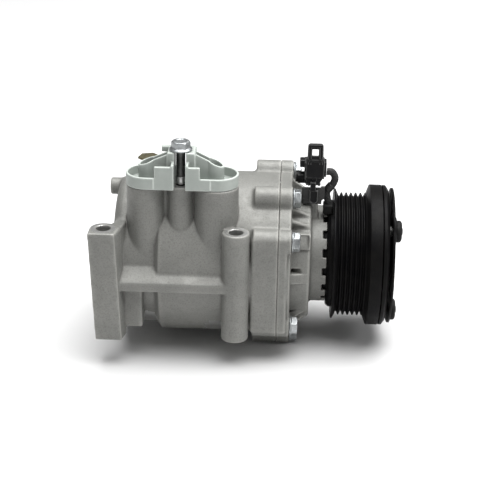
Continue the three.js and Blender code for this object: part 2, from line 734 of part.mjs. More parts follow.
// ---------------------------------------------------------------- relief valve
add('relief_valve', join(
  barZ(RELIEF_VALVE.stemR, 46, 61, RELIEF_VALVE.x, RELIEF_VALVE.y, 16),
  barZ(8, 60.3, 66, RELIEF_VALVE.x, RELIEF_VALVE.y, 6),
  barZ(5.5, 65, 71, RELIEF_VALVE.x, RELIEF_VALVE.y, 16),
  barZ(8.2, 70.4, 72, RELIEF_VALVE.x, RELIEF_VALVE.y, 6),
), 'brass');

// ---------------------------------------------------------------- port cap and its bolt
const CAP = {
  base: PORT_FACE_Z + GAP,
  rim: 76.6,
  ends: [-147.4, -97.2],
  halfWidth: 15,
  wall: 1.6,
  blockTop: 85,
  top: 93,
};
const CAP_SLOT_X = [-127.4, -119.2];
const CAP_SLOT_END_Y = -28.5;
// plugs over the ports: x of the round end, radius, x where the channel meets the cheek
const CAP_PLUGS = [{ x: -147.2, inner: -132 }, { x: -98.9, inner: -114 }];
const CAP_PLUG_R = 6.3;
const CAP_PLUG_BORE_R = 5;
const CAP_CHANNEL = 4.2;

function portCap() {
  const [xa, xb] = CAP.ends;
  const { base, rim, top, wall, halfWidth, blockTop } = CAP;
  const front = PORT_Y - halfWidth;
  const outer = plateZ(stadium(xa, xb, PORT_Y, halfWidth), base, rim);
  const hollow = plateZ(stadium(xa, xb, PORT_Y, halfWidth - wall), base + 2, rim + 1);
  const channels = CAP_PLUGS.map(({ x, inner }) => join(
    barZ(CAP_PLUG_R, base + 1, top, x, PORT_Y, 20),
    box([Math.min(x, inner), Math.max(x, inner)], [PORT_Y - CAP_CHANNEL, PORT_Y + CAP_CHANNEL], [base + 1, top]),
  ));
  const cheeks = [[-133, CAP_SLOT_X[0]], [CAP_SLOT_X[1], -112.6]].map(
    (x) => box(x, [PORT_Y - 7, -28], [base, top]),
  );
  const roof = plateY(
    [[-165, 100], [-165, 77.6], [CAP_PLUGS[0].x, 84.4], [-133, 90.6], [-132, top], [-113.6, top],
      [-112.6, 91.4], [CAP_PLUGS[1].x, 84.6], [-79, 76], [-79, 100]],
    -60,
    -20,
  );
  const raised = cut(join(...channels, ...cheeks), roof);
  const wells = CAP_PLUGS.map(({ x }) => barZ(CAP_PLUG_BORE_R, base + 3, top + 1, x, PORT_Y, 16));
  const nozzles = [DISCHARGE_PORT, SUCTION_PORT].map(({ x, bore }) => cut(
    barZ(bore - GAP, base - 8, base + 1, x, PORT_Y, 20),
    barZ(bore - 2.2, base - 9, base, x, PORT_Y, 16),
  ));
  const blocks = [[-141, CAP_SLOT_X[0]], [CAP_SLOT_X[1], -109]].map(
    (x) => box(x, [front, front + 2.6], [base, blockTop]),
  );
  const sides = [[CAP_SLOT_X[0] - 2, CAP_SLOT_X[0]], [CAP_SLOT_X[1], CAP_SLOT_X[1] + 2]].map(
    (x) => box(x, [front, PORT_Y - 5], [base, blockTop]),
  );
  const shelf = box([-137.6, CAP_SLOT_X[0]], [-32, -28], [88.8, top]);
  return cut(
    join(cut(outer, hollow), raised, shelf, ...blocks, ...sides, ...nozzles),
    ...wells,
    box(CAP_SLOT_X, [front - 1, CAP_SLOT_END_Y], [base - 1, top + 1]),
  );
}
add('port_cap', portCap(), 'capPlastic');
const hexZ = new THREE.CylinderGeometry(6.95, 6.95, 5.2, 6).rotateX(Math.PI / 2);
add('cap_bolt', join(
  barZ(3.2, 46, CAP.top + 1, CAP_BOLT_X, PORT_Y, 14),
  barZ(3.7, 68.2, 73.6, CAP_BOLT_X, PORT_Y, 14),
  barZ(8.2, CAP.top + GAP, CAP.top + 2.2, CAP_BOLT_X, PORT_Y, 22),
  hexZ.translate(CAP_BOLT_X, PORT_Y, 97.4),
), 'zinc');

// ---------------------------------------------------------------- coil connector
const PLUG = { x: [-36, -21], y: [-15.8, -3.5], z: [57, 78] };
add('connector_bracket', cut(
  join(
    box([-37, -22], [-18, -3.5], [49.6, 51.2]),
    box([-37, -20.5], [-18, -16.2], [47.4, 60]),
  ),
  barZ(2.4, 49, 52, BRACKET_SCREW_X, PLUG_Y, 12),
), 'steel');
add('bracket_screw', join(
  barZ(2, 42, 52, BRACKET_SCREW_X, PLUG_Y, 10),
  barZ(4, 51.5, 54.4, BRACKET_SCREW_X, PLUG_Y, 6),
), 'zinc');
add('connector_body', cut(
  join(
    box(PLUG.x, PLUG.y, [62, PLUG.z[1]]),
    box([-34.5, -23], [-15, -4.5], [PLUG.z[0], 63]),
    box([-37.4, -35], [-13.5, -5.5], [71.5, 79]),
    box([-22, -19.8], [-13.5, -5.5], [66, 77.5]),
    box([-31, -24.4], [-20.6, -18.3], [46.5, 64]),
    box([-31, -24.4], [-20.6, -15], [60.4, 64]),
    barX(3.6, -42, -34.5, PLUG_Y, 65, 14),
  ),
  box([-34, -23], [-13.9, -5.5], [66, PLUG.z[1] + 1]),
), 'blackPlastic');
[-31, -26].forEach((x, i) => {
  add(`connector_terminal_${i + 1}`, box([x - 0.5, x + 0.5], [-10.3, -9.1], [66.3, 75]), 'copper');
});
add('connector_latch', cut(
  box([-33.9, -22.6], [-18.3, -16.1], [66.4, 92.2]),
  box([-30.6, -26], [-19, -15], [83.4, 88.6]),
), 'blackPlastic');

// Lead from the connector round to the coil, held at both ends.
const LEAD = [
  [-19.4, 69], [-15.6, 68.4], [-13.4, 64.4], [-14.2, 60], [-17, 56.8], [-18.9, 53], [-18.6, 48.6],
  [-17.4, 44.6], [-17.2, 40.3],
].map(([x, z]) => [x, PLUG_Y, z]);
function lead(r, from, to, steps) {
  const curve = new THREE.CatmullRomCurve3(LEAD.slice(from, to).map((p) => new THREE.Vector3(...p)));
  const section = new THREE.Shape();
  for (let i = 0; i < 8; i += 1) {
    const a = (TURN * i) / 8;
    if (i === 0) section.moveTo(r, 0);
    else section.lineTo(r * Math.cos(a), r * Math.sin(a));
  }
  section.closePath();
  return new THREE.ExtrudeGeometry(section, { steps, extrudePath: curve, bevelEnabled: false });
}
add('coil_lead', lead(2.5, 0, LEAD.length, 18), 'rubber');

// ---------------------------------------------------------------- stand the group on the origin
const bounds = new THREE.Box3().setFromObject(compressor);
const middle = bounds.getCenter(new THREE.Vector3());
compressor.position.set(-middle.x, -middle.y, -bounds.min.z);
compressor.updateMatrixWorld(true);

export default compressor;
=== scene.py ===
# Looks of a car's air-conditioning compressor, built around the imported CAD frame.
# Shapes are laid out in millimetres from the shaft axis, as the CAD source lays them out:
# +X towards the pulley, -Y the near side, +Z up, x = 0 in the middle of the belt grooves.
import math

import bpy
import numpy as np
import openvdb
from mathutils import Matrix, Vector


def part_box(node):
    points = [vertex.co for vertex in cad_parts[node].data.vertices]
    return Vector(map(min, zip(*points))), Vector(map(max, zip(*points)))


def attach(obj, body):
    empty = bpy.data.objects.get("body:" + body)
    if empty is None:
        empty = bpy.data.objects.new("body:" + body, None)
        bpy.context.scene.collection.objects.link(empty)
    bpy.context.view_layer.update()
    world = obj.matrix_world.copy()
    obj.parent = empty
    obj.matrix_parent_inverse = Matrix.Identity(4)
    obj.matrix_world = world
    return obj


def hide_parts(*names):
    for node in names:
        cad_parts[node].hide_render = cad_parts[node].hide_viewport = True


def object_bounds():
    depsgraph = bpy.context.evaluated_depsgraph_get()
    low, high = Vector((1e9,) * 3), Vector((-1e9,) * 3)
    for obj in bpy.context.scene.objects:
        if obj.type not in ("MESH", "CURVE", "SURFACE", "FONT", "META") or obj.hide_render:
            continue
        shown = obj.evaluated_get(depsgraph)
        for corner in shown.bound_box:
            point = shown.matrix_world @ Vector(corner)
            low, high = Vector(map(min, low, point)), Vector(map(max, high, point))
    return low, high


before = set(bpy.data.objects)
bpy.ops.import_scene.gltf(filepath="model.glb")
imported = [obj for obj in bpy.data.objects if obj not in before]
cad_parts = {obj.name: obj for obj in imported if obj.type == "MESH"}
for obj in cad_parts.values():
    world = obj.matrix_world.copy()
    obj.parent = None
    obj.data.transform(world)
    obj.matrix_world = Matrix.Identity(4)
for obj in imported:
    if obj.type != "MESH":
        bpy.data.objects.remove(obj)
CAD_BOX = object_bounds()

PULLEY_BACK_X = -12.9
_low, _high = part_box("pulley")
SHIFT = np.array([
    _low[0] * 1000 - PULLEY_BACK_X,
    (_low[1] + _high[1]) * 500,
    (_low[2] + _high[2]) * 500,
])


# ---------------------------------------------------------------- distance fields
FAR = 1000.0
RADIUS_PITCH = 0.2  # step of the table from which a turned shape reads its distances


def soft_min(a, b, blend):
    """The smaller of two distances, with a fillet of about that size where they meet."""
    if blend <= 0:
        return np.minimum(a, b)
    h = np.clip(0.5 + 0.5 * (b - a) / blend, 0, 1)
    return b * (1 - h) + a * h - blend * h * (1 - h)


def rounded(u, w, edge):
    """Distance to the corner of two half-spaces, with its edge rounded."""
    u, w = u + edge, w + edge
    outside = np.sqrt(np.maximum(u, 0) ** 2 + np.maximum(w, 0) ** 2)
    return np.minimum(np.maximum(u, w), 0) + outside - edge


def polygon(points):
    """Signed distance to a closed outline in the plane."""
    def distance(u, v):
        nearest = None
        inside = False
        for (ax, ay), (bx, by) in zip(points, points[1:] + points[:1]):
            ex, ey = bx - ax, by - ay
            wx, wy = u - ax, v - ay
            t = np.clip((wx * ex + wy * ey) / (ex * ex + ey * ey), 0, 1)
            d = (wx - ex * t) ** 2 + (wy - ey * t) ** 2
            nearest = d if nearest is None else np.minimum(nearest, d)
            crosses = ((v >= ay) != (v >= by)) & (wx < ex * wy / (ey or 1e-9))
            inside = inside ^ crosses
        return np.where(inside, -1, 1) * np.sqrt(nearest)
    return distance


def others(axis):
    """The number of an axis, and the numbers of the two across it."""
    i = "xyz".index(axis)
    return i, [k for k in range(3) if k != i]


# A shape is its box, low and high, and the signed distance to it at a grid of points.
def rod(axis, radius, ends, centre=(0, 0), edge=0.6):
    """A cylinder along an axis, with rounded rims."""
    i, (j, k) = others(axis)
    low, high = [0] * 3, [0] * 3
    low[i], high[i] = ends
    for n, c in ((j, centre[0]), (k, centre[1])):
        low[n], high[n] = c - radius, c + radius
    middle, half = (ends[0] + ends[1]) / 2, (ends[1] - ends[0]) / 2

    def distance(*p):
        across = np.sqrt((p[j] - centre[0]) ** 2 + (p[k] - centre[1]) ** 2)
        return rounded(across - radius, np.abs(p[i] - middle) - half, edge)
    return low, high, distance


def slab(axis, points, ends, edge=0.6):
    """An outline extruded along an axis, with rounded rims."""
    i, (j, k) = others(axis)
    low, high = [0] * 3, [0] * 3
    low[i], high[i] = ends
    for n, c in ((j, 0), (k, 1)):
        low[n], high[n] = min(p[c] for p in points), max(p[c] for p in points)
    middle, half = (ends[0] + ends[1]) / 2, (ends[1] - ends[0]) / 2
    flat = polygon(points)

    def distance(*p):
        return rounded(flat(p[j], p[k]), np.abs(p[i] - middle) - half, edge)
    return low, high, distance


def block(x, y, z, edge=0.6):
    """A box with rounded edges."""
    low, high = [x[0], y[0], z[0]], [x[1], y[1], z[1]]

    def distance(*p):
        q = [np.abs(v - (a + b) / 2) - (b - a) / 2 + edge for v, a, b in zip(p, low, high)]
        outside = np.sqrt(sum(np.maximum(d, 0) ** 2 for d in q))
        return outside + np.minimum(np.maximum(np.maximum(q[0], q[1]), q[2]), 0) - edge
    return low, high, distance


def lathe(axis, points, centre=(0, 0)):
    """A solid of revolution; the outline is given as (along the axis, radius)."""
    i, (j, k) = others(axis)
    reach = max(p[1] for p in points)
    low, high = [0] * 3, [0] * 3
    low[i], high[i] = min(p[0] for p in points), max(p[0] for p in points)
    for n, c in ((j, centre[0]), (k, centre[1])):
        low[n], high[n] = c - reach, c + reach
    flat = polygon(points)

    def distance(*p):
        r = np.sqrt((p[j] - centre[0]) ** 2 + (p[k] - centre[1]) ** 2).squeeze(i)
        radii = np.arange(0, r.max() + 2 * RADIUS_PITCH, RADIUS_PITCH, dtype=np.float32)
        table = flat(p[i].ravel()[:, None], radii[None, :])
        n = (r / RADIUS_PITCH).astype(int)
        t = r / RADIUS_PITCH - n
        return np.moveaxis(table[:, n] * (1 - t) + table[:, n + 1] * t, 0, i)
    return low, high, distance


def spun(shape, degrees):
    """The shape turned about the shaft axis."""
    low, high, distance = shape
    c, s = math.cos(math.radians(degrees)), math.sin(math.radians(degrees))
    corners = [(y * c - z * s, y * s + z * c) for y in (low[1], high[1]) for z in (low[2], high[2])]
    ys, zs = zip(*corners)
    return (
        [low[0], min(ys), min(zs)],
        [high[0], max(ys), max(zs)],
        lambda x, y, z: distance(x, y * c + z * s, z * c - y * s),
    )


def tilted(shape, centre, degrees):
    """A shape made at the origin, turned about Y and moved to a centre."""
    low, high, distance = shape
    reach = np.linalg.norm(np.maximum(np.abs(low), np.abs(high)))
    c, s = math.cos(math.radians(degrees)), math.sin(math.radians(degrees))

    def moved(x, y, z):
        x, y, z = x - centre[0], y - centre[1], z - centre[2]
        return distance(x * c - z * s, y, x * s + z * c)
    return [v - reach for v in centre], [v + reach for v in centre], moved


def sheared(shape, slope, level):
    """The shape leaning along X by slope for each millimetre of Z below level."""
    low, high, distance = shape
    reach = abs(slope) * (high[2] - low[2])
    return (
        [low[0] - reach, low[1], low[2]],
        [high[0] + reach, high[1], high[2]],
        lambda x, y, z: distance(x - slope * (level - z), y, z),
    )


MARGIN_STEPS = 4
BAND_STEPS = 3


class Field:
    """A block of space that shapes are added to and cut from, in steps of some tenths."""

    def __init__(self, low, high, step):
        self.low, self.step = np.array(low, float), step
        self.axes = [np.arange(a, b + step, step, dtype=np.float32) for a, b in zip(low, high)]
        self.d = np.full([len(a) for a in self.axes], FAR, np.float32)

    def near(self, low, high, margin):
        """The part of the grid round a box, as slices and as coordinates."""
        cuts, coordinates = [], []
        for n, (a, l, h) in enumerate(zip(self.axes, low, high)):
            part = slice(np.searchsorted(a, l - margin), np.searchsorted(a, h + margin))
            shape = [1, 1, 1]
            shape[n] = -1
            cuts.append(part)
            coordinates.append(a[part].reshape(shape))
        return tuple(cuts), coordinates

    def add(self, shape, blend=0.0):
        low, high, distance = shape
        cuts, p = self.near(low, high, blend + MARGIN_STEPS * self.step)
        self.d[cuts] = soft_min(self.d[cuts], distance(*p), blend)
        return self

    def cut(self, shape, blend=0.0):
        low, high, distance = shape
        cuts, p = self.near(low, high, blend + MARGIN_STEPS * self.step)
        self.d[cuts] = -soft_min(-self.d[cuts], distance(*p), blend)
        return self

    def keep(self, shape, blend=0.0):
        """Leaves only what lies inside the shape."""
        cuts, p = self.near(self.low, [a[-1] for a in self.axes], 1)
        self.d[cuts] = -soft_min(-self.d[cuts], -shape[2](*p), blend)
        return self

    def surface(self):
        """Points in millimetres and quads of the zero surface."""
        band = BAND_STEPS * self.step
        grid = openvdb.FloatGrid(band)
        grid.copyFromArray(np.ascontiguousarray(np.clip(self.d, -band, band)))
        points, quads = grid.convertToQuads(0.0)
        points = self.low + points * self.step
        a, b, c = (points[quads[:, n]] for n in (0, 1, 2))
        if np.einsum("ij,ij->", a, np.cross(b, c)) < 0:
            quads = quads[:, ::-1]
        return points, quads


# ---------------------------------------------------------------- meshes and pieces
FACE_LIMIT = 190_000


def to_frame(points):
    return (np.asarray(points, float) + SHIFT) / 1000


def new_object(name, points, faces, materials, sharp=40):
    mesh = bpy.data.meshes.new(name)
    mesh.from_pydata(to_frame(points), [], faces)
    mesh.update()
    mesh.shade_smooth()
    if sharp:
        mesh.set_sharp_from_angle(angle=math.radians(sharp))
    obj = bpy.data.objects.new(name, mesh)
    bpy.context.scene.collection.objects.link(obj)
    for m in materials:
        mesh.materials.append(m)
    return obj


def thin(obj):
    """Collapses edges of a mesh that has more triangles than it needs."""
    count = sum(len(p.vertices) - 2 for p in obj.data.polygons)
    if count <= FACE_LIMIT:
        return obj
    modifier = obj.modifiers.new("thin", "DECIMATE")
    modifier.ratio = FACE_LIMIT / count
    depsgraph = bpy.context.evaluated_depsgraph_get()
    mesh = bpy.data.meshes.new_from_object(obj.evaluated_get(depsgraph))
    obj.modifiers.clear()
    old, obj.data = obj.data, mesh
    bpy.data.meshes.remove(old)
    mesh.shade_smooth()
    return obj


def piece(obj, body, slot, *nodes):
    """Puts a piece on its body, in place of CAD nodes; the slot argument is not used."""
    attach(obj, body)
    if nodes:
        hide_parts(*nodes)


def sculpt(name, field, materials):
    """The surface of a field as an object."""
    points, quads = field.surface()
    return thin(new_object(name, points, quads, materials, sharp=0))


def fillet(points, radius, steps=3):
    """Rounds the corners of a closed outline."""
    done = []
    for p, q, r in zip(points[-1:] + points[:-1], points, points[1:] + points[:1]):
        p, q, r = Vector(p), Vector(q), Vector(r)
        a, b = (p - q), (r - q)
        reach = min(radius, 0.45 * a.length, 0.45 * b.length)
        a, b = q + a.normalized() * reach, q + b.normalized() * reach
        for n in range(steps + 1):
            t = n / steps
            done.append(tuple(a * (1 - t) ** 2 + q * (2 * t * (1 - t)) + b * t ** 2))
    return done


def turned(name, outline, materials, sides=128, centre=(0, 0), axis="x", sharp=40):
    """Mesh of revolution of a closed (along, radius) outline that stays off the axis."""
    n = len(outline)
    points, faces = [], []
    for s in range(sides):
        a = 2 * math.pi * s / sides
        for t, r in outline:
            u, v = r * math.cos(a), r * math.sin(a)
            if axis == "x":
                points.append((t, centre[0] + u, centre[1] + v))
            else:
                points.append((centre[0] + u, centre[1] + v, t))
    for s in range(sides):
        for i in range(n):
            j, k = (i + 1) % n, (s + 1) % sides
            faces.append((s * n + i, s * n + j, k * n + j, k * n + i))
    area = sum(p[0] * q[1] - q[0] * p[1] for p, q in zip(outline, outline[1:] + outline[:1]))
    if (area > 0) != (axis == "x"):
        faces = [f[::-1] for f in faces]
    return new_object(name, points, faces, materials, sharp)


def around(angle, radius):
    """(y, z) on a circle round the shaft; the angle is measured up from the near side."""
    a = math.radians(angle)
    return -radius * math.cos(a), radius * math.sin(a)


def arc(centre, radius, start, end, steps=10):
    """Points of an arc in a plane, angles in degrees."""
    return [
        (centre[0] + radius * math.cos(math.radians(start + (end - start) * n / steps)),
         centre[1] + radius * math.sin(math.radians(start + (end - start) * n / steps)))
        for n in range(steps + 1)
    ]


# ---------------------------------------------------------------- materials
class Graph:
    """A material's node tree with a few short ways to add to it."""

    def __init__(self, name):
        self.material = bpy.data.materials.new(name)
        self.material.use_nodes = True
        self.tree = self.material.node_tree
        self.shader = self.tree.nodes["Principled BSDF"]
        self.place = self.node("ShaderNodeTexCoord").outputs["Object"]

    def node(self, kind, **settings):
        node = self.tree.nodes.new(kind)
        for key, value in settings.items():
            setattr(node, key, value)
        return node

    def link(self, source, target):
        if hasattr(source, "is_output"):
            self.tree.links.new(source, target)
        else:
            target.default_value = source

    def noise(self, millimetres, detail=3.0, roughness=0.5, stretch=None, distortion=0.0):
        node = self.node("ShaderNodeTexNoise")
        node.inputs["Scale"].default_value = 1000 / millimetres
        node.inputs["Detail"].default_value = detail
        node.inputs["Roughness"].default_value = roughness
        node.inputs["Distortion"].default_value = distortion
        place = self.place
        if stretch:
            mapping = self.node("ShaderNodeMapping")
            mapping.inputs["Scale"].default_value = stretch
            self.link(place, mapping.inputs["Vector"])
            place = mapping.outputs["Vector"]
        self.link(place, node.inputs["Vector"])
        return node.outputs["Fac"]

    def cells(self, millimetres):
        node = self.node("ShaderNodeTexVoronoi")
        node.inputs["Scale"].default_value = 1000 / millimetres
        self.link(self.place, node.inputs["Vector"])
        return node.outputs["Distance"]

    def between(self, value, low, high, to_low=0.0, to_high=1.0):
        node = self.node("ShaderNodeMapRange")
        node.inputs["From Min"].default_value = low
        node.inputs["From Max"].default_value = high
        node.inputs["To Min"].default_value = to_low
        node.inputs["To Max"].default_value = to_high
        self.link(value, node.inputs["Value"])
        return node.outputs["Result"]

    def mix(self, factor, a, b, mode="MIX"):
        node = self.node("ShaderNodeMix", data_type="RGBA", blend_type=mode)
        colours = [s for s in node.inputs if s.type == "RGBA"]
        self.link(factor, node.inputs["Factor"])
        for value, target in zip((a, b), colours):
            self.link((*value, 1) if isinstance(value, tuple) else value, target)
        return next(s for s in node.outputs if s.type == "RGBA")

    def sum(self, a, b, weight=1.0):
        node = self.node("ShaderNodeMath", operation="MULTIPLY_ADD")
        self.link(b, node.inputs[0])
        node.inputs[1].default_value = weight
        self.link(a, node.inputs[2])
        return node.outputs[0]

    def pointiness(self):
        return self.node("ShaderNodeNewGeometry").outputs["Pointiness"]

    def bump(self, height, millimetres, strength=1.0):
        node = self.node("ShaderNodeBump")
        node.inputs["Strength"].default_value = strength
        node.inputs["Distance"].default_value = millimetres / 1000
        self.link(height, node.inputs["Height"])
        self.link(node.outputs["Normal"], self.shader.inputs["Normal"])

    def set(self, **values):
        names = {"colour": "Base Color", "metallic": "Metallic", "roughness": "Roughness",
                 "specular": "Specular IOR Level"}
        for key, value in values.items():
            value = (*value, 1) if isinstance(value, tuple) else value
            self.link(value, self.shader.inputs[names[key]])
        return self.material


def cast_metal():
    """Shot-blasted die casting: fine grain, soft blotches, paler edges, painted shade darkening its
    corners and creases.
    """
    g = Graph("cast_aluminium")
    blotches = g.between(g.noise(30, 4, 0.6), 0.3, 0.7)
    grain = g.noise(1.05, 4, 0.7)
    colour = g.mix(blotches, (0.178, 0.179, 0.168), (0.222, 0.222, 0.208))
    speckle = g.between(grain, 0.3, 0.52)
    colour = g.mix(1.0, colour, g.mix(speckle, (0.70, 0.70, 0.69), (1.0, 1.0, 1.0)), "MULTIPLY")
    point = g.pointiness()
    colour = g.mix(g.between(point, 0.505, 0.56, 0, 0.6), colour, (0.40, 0.395, 0.37))
    # painted shade: concave corners and creases are darkened towards near black
    colour = g.mix(g.between(point, 0.495, 0.44, 0, 0.8), colour, (0.07, 0.065, 0.06))
    rough = g.between(g.noise(5, 3), 0.3, 0.7, 0.46, 0.62)
    height = g.sum(grain, g.noise(4.5, 2), 1.0)
    g.bump(height, 0.17, 0.75)
    return g.set(colour=colour, metallic=0.3, roughness=rough, specular=0.4)


def machined_metal():
    """Turned or milled aluminium with fine tool marks."""
    g = Graph("machined_aluminium")
    marks = g.noise(0.5, 2, stretch=(1, 1, 0.15))
    colour = g.mix(g.noise(7, 3), (0.42, 0.42, 0.41), (0.56, 0.56, 0.55))
    g.bump(marks, 0.03, 0.5)
    return g.set(colour=colour, metallic=0.9, roughness=g.between(marks, 0.3, 0.7, 0.28, 0.42))


def steel(name, dark, light, roughness, metallic=1.0, size=2.0):
    g = Graph(name)
    fine = g.noise(size, 4, 0.6)
    colour = g.mix(g.between(fine, 0.3, 0.7), dark, light)
    g.bump(g.noise(0.6, 2), 0.02, 0.4)
    rough = g.between(g.noise(size * 2, 3), 0.3, 0.7, roughness * 0.8, roughness * 1.25)
    return g.set(colour=colour, metallic=metallic, roughness=rough)


def black_paint():
    """Satin black coat over machined steel, with a faint brown tint and rubbed edges."""
    g = Graph("black_paint")
    patches = g.between(g.noise(14, 4, 0.6), 0.35, 0.7)
    colour = g.mix(patches, (0.0030, 0.0030, 0.0034), (0.0065, 0.0062, 0.0058))
    wear = g.between(g.noise(3.0, 4, 0.7), 0.62, 0.72, 0, 0.12)
    colour = g.mix(wear, colour, (0.05, 0.044, 0.037))
    rings = g.noise(0.35, 2, stretch=(1, 0.05, 0.05))
    g.bump(g.sum(rings, g.noise(1.4, 3), 0.8), 0.03, 0.5)
    rough = g.between(g.noise(6, 3), 0.3, 0.7, 0.36, 0.5)
    return g.set(colour=colour, metallic=0.0, roughness=rough, specular=0.06)


def plastic(name, dark, light, roughness, grain=0.7, specular=0.5, edge=None):
    g = Graph(name)
    colour = g.mix(g.between(g.noise(9, 4), 0.3, 0.7), dark, light)
    # painted highlight: convex edges are lightened to the edge colour, or else to a paler copy of
    # the light tone
    colour = g.mix(g.between(g.pointiness(), 0.505, 0.54, 0, 0.8), colour,
                   edge or tuple(min(1.0, c * 1.35 + 0.02) for c in light))
    g.bump(g.noise(grain, 3, 0.6), 0.04, 0.5)
    rough = g.between(g.noise(4, 3), 0.3, 0.7, roughness * 0.85, roughness * 1.15)
    return g.set(colour=colour, roughness=rough, specular=specular)


def rubber(name, dark, light):
    g = Graph(name)
    colour = g.mix(g.between(g.noise(5, 4, 0.7), 0.35, 0.7), dark, light)
    g.bump(g.sum(g.noise(0.5, 3, 0.7), g.noise(3, 3), 0.6), 0.06, 0.5)
    rough = g.between(g.noise(2, 3), 0.3, 0.7, 0.55, 0.8)
    return g.set(colour=colour, roughness=rough, specular=0.2)


def sleeve():
    """Woven sleeve: fine diagonal strands over black."""
    g = Graph("woven_sleeve")
    strands = g.cells(0.55)
    colour = g.mix(g.between(strands, 0.1, 0.6), (0.03, 0.03, 0.03), (0.008, 0.008, 0.008))
    g.bump(strands, 0.12, 0.6)
    return g.set(colour=colour, roughness=g.between(strands, 0, 0.6, 0.5, 0.8))


CAST = cast_metal()
MACHINED = machined_metal()
ZINC = steel("zinc_plate", (0.26, 0.275, 0.28), (0.42, 0.435, 0.44), 0.42, size=1.5)
STEEL = steel("ground_steel", (0.42, 0.42, 0.42), (0.58, 0.58, 0.57), 0.35)
DARK_STEEL = steel("dark_steel", (0.05, 0.052, 0.052), (0.13, 0.13, 0.125), 0.42, 0.8)
BRACKET = steel("bracket_steel", (0.012, 0.012, 0.012), (0.022, 0.022, 0.021), 0.5, 0.2)
ALLOY = steel("scroll_alloy", (0.55, 0.55, 0.54), (0.68, 0.68, 0.66), 0.33, 0.9)
OLIVE = steel("olive_plate", (0.10, 0.09, 0.05), (0.2, 0.18, 0.11), 0.38, 0.8, 1.6)
BRASS = steel("cage_brass", (0.45, 0.34, 0.15), (0.62, 0.48, 0.24), 0.35)
COPPER = steel("copper_wire", (0.45, 0.2, 0.08), (0.62, 0.3, 0.13), 0.35)
PAINT = black_paint()
# the edge colour here is a painted highlight along convex edges
BLACK_PLASTIC = plastic("black_plastic", (0.004, 0.004, 0.0045), (0.009, 0.009, 0.0095), 0.34,
                        specular=0.1, edge=(0.12, 0.12, 0.118))
# its convex edges get the default painted highlight
CAP_PLASTIC = plastic("cap_plastic", (0.30, 0.328, 0.305), (0.345, 0.372, 0.348), 0.48, 1.0)
RUBBER = rubber("damper_rubber", (0.004, 0.004, 0.004), (0.010, 0.010, 0.0095))
SEAL = rubber("green_seal_rubber", (0.012, 0.03, 0.02), (0.03, 0.06, 0.045))
SLEEVE = sleeve()


def machine(obj, *planes, limit=0.985, reach=0.7):
    """Gives the machined finish to faces in the stated planes: (axis, millimetres, test)."""
    mesh = obj.data
    n = len(mesh.polygons)
    normals, centres = np.empty(3 * n), np.empty(3 * n)
    mesh.polygons.foreach_get("normal", normals)
    mesh.polygons.foreach_get("center", centres)
    normals, centres = normals.reshape(-1, 3), centres.reshape(-1, 3) * 1000 - SHIFT
    chosen = np.zeros(n, bool)
    for axis, level, test in planes:
        i = "xyz".index(axis)
        flat = (np.abs(normals[:, i]) > limit) & (np.abs(centres[:, i] - level) < reach)
        chosen |= flat & test(*centres.T)
    mesh.polygons.foreach_set("material_index", chosen.astype(np.int32))
    mesh.update()


BORE_REACH = 0.25


def bored(obj, *bores):
    """The same for the walls of bores along Z: (x, y, radius)."""
    mesh = obj.data
    n = len(mesh.polygons)
    centres, index = np.empty(3 * n), np.empty(n, np.int32)
    mesh.polygons.foreach_get("center", centres)
    mesh.polygons.foreach_get("material_index", index)
    centres = centres.reshape(-1, 3) * 1000 - SHIFT
    for x, y, r in bores:
        index[np.hypot(centres[:, 0] - x, centres[:, 1] - y) < r + BORE_REACH] = 1
    mesh.polygons.foreach_set("material_index", index)
    mesh.update()


# ---------------------------------------------------------------- dimensions of the castings
JOINT_X = -53.0
JOINT_GAP = 0.14
BODY_R = 60.0
REAR_R = 55.5
LUG_R = 8.4
LUG_FACE_X = -43.6
LUG_BACK_X = -71.0
BOLT_SEAT_X = -43.3
# joint bolts: angle up from the near side, radius
JOINT_BOLTS = [(63.4, 60.5), (30.2, 61.5), (-39, 60.5), (-70, 60.2), (-125, 61), (172, 61),
               (110, 60.5)]
NEAR_PAD = ((-60.5, -30), (-39, 35))  # y and z of the flat pad on the near side of the joint
# feet: x and y of their bores
FOOT_TOP, FOOT_BOTTOM = 39.5, -44.0
FOOT_HOLE_R = 5.2
FOOT_R = 9.8
FOOT_NECK = 7.5
TUBE = (-83.0, -58.2)
FOOT_BLOCK = (-177.0, -57.5)
FAR_TUBE = (-123.0, 58.2)
FOOT_BLOCK_LEAN = 3.8  # how far the foot block leans back over its height
PORT_FACE = 67.5
PORT_Y = -39.0
PORTS = [(-148.7, 13.4, 7.6), (-97.9, 15.8, 9.0)]  # x, outer radius, bore radius
CAP_BOLT_X = -123.3
CAP_BOSS_R = 9.5
CAP_THREAD_R = 3.6
VALVE = (-150.5, 4.0)
STUB = (10, 45.5)
REAR_RIB_ANGLES = (20, 80, 140, 200, 260, 320)
NOSE_R = 36.0
NOSE_END_X = -17.6
SHOULDER_R = 48
SHOULDER_X = -29.9
# stiffening ribs of the front casting: angle, thickness
GUSSETS = [(58, 2.6), (47, 2.6), (97, 4.4), (140, 4.4), (202, 4.4), (262, 4.4), (-55, 4.6)]
NOTCHES = 16
NOTCH_START = 0.6
SCREW_HOLE = (-31, -9.7)


def everywhere(x, _, __):
    return np.ones(len(x), bool)


def foot_neck(foot, inner_y):
    """The web that joins a round foot to the body."""
    x, y = foot
    return block((x - FOOT_NECK, x + FOOT_NECK), sorted((y, inner_y)),
                 (FOOT_BOTTOM + 4, FOOT_TOP - 5), 1.5)


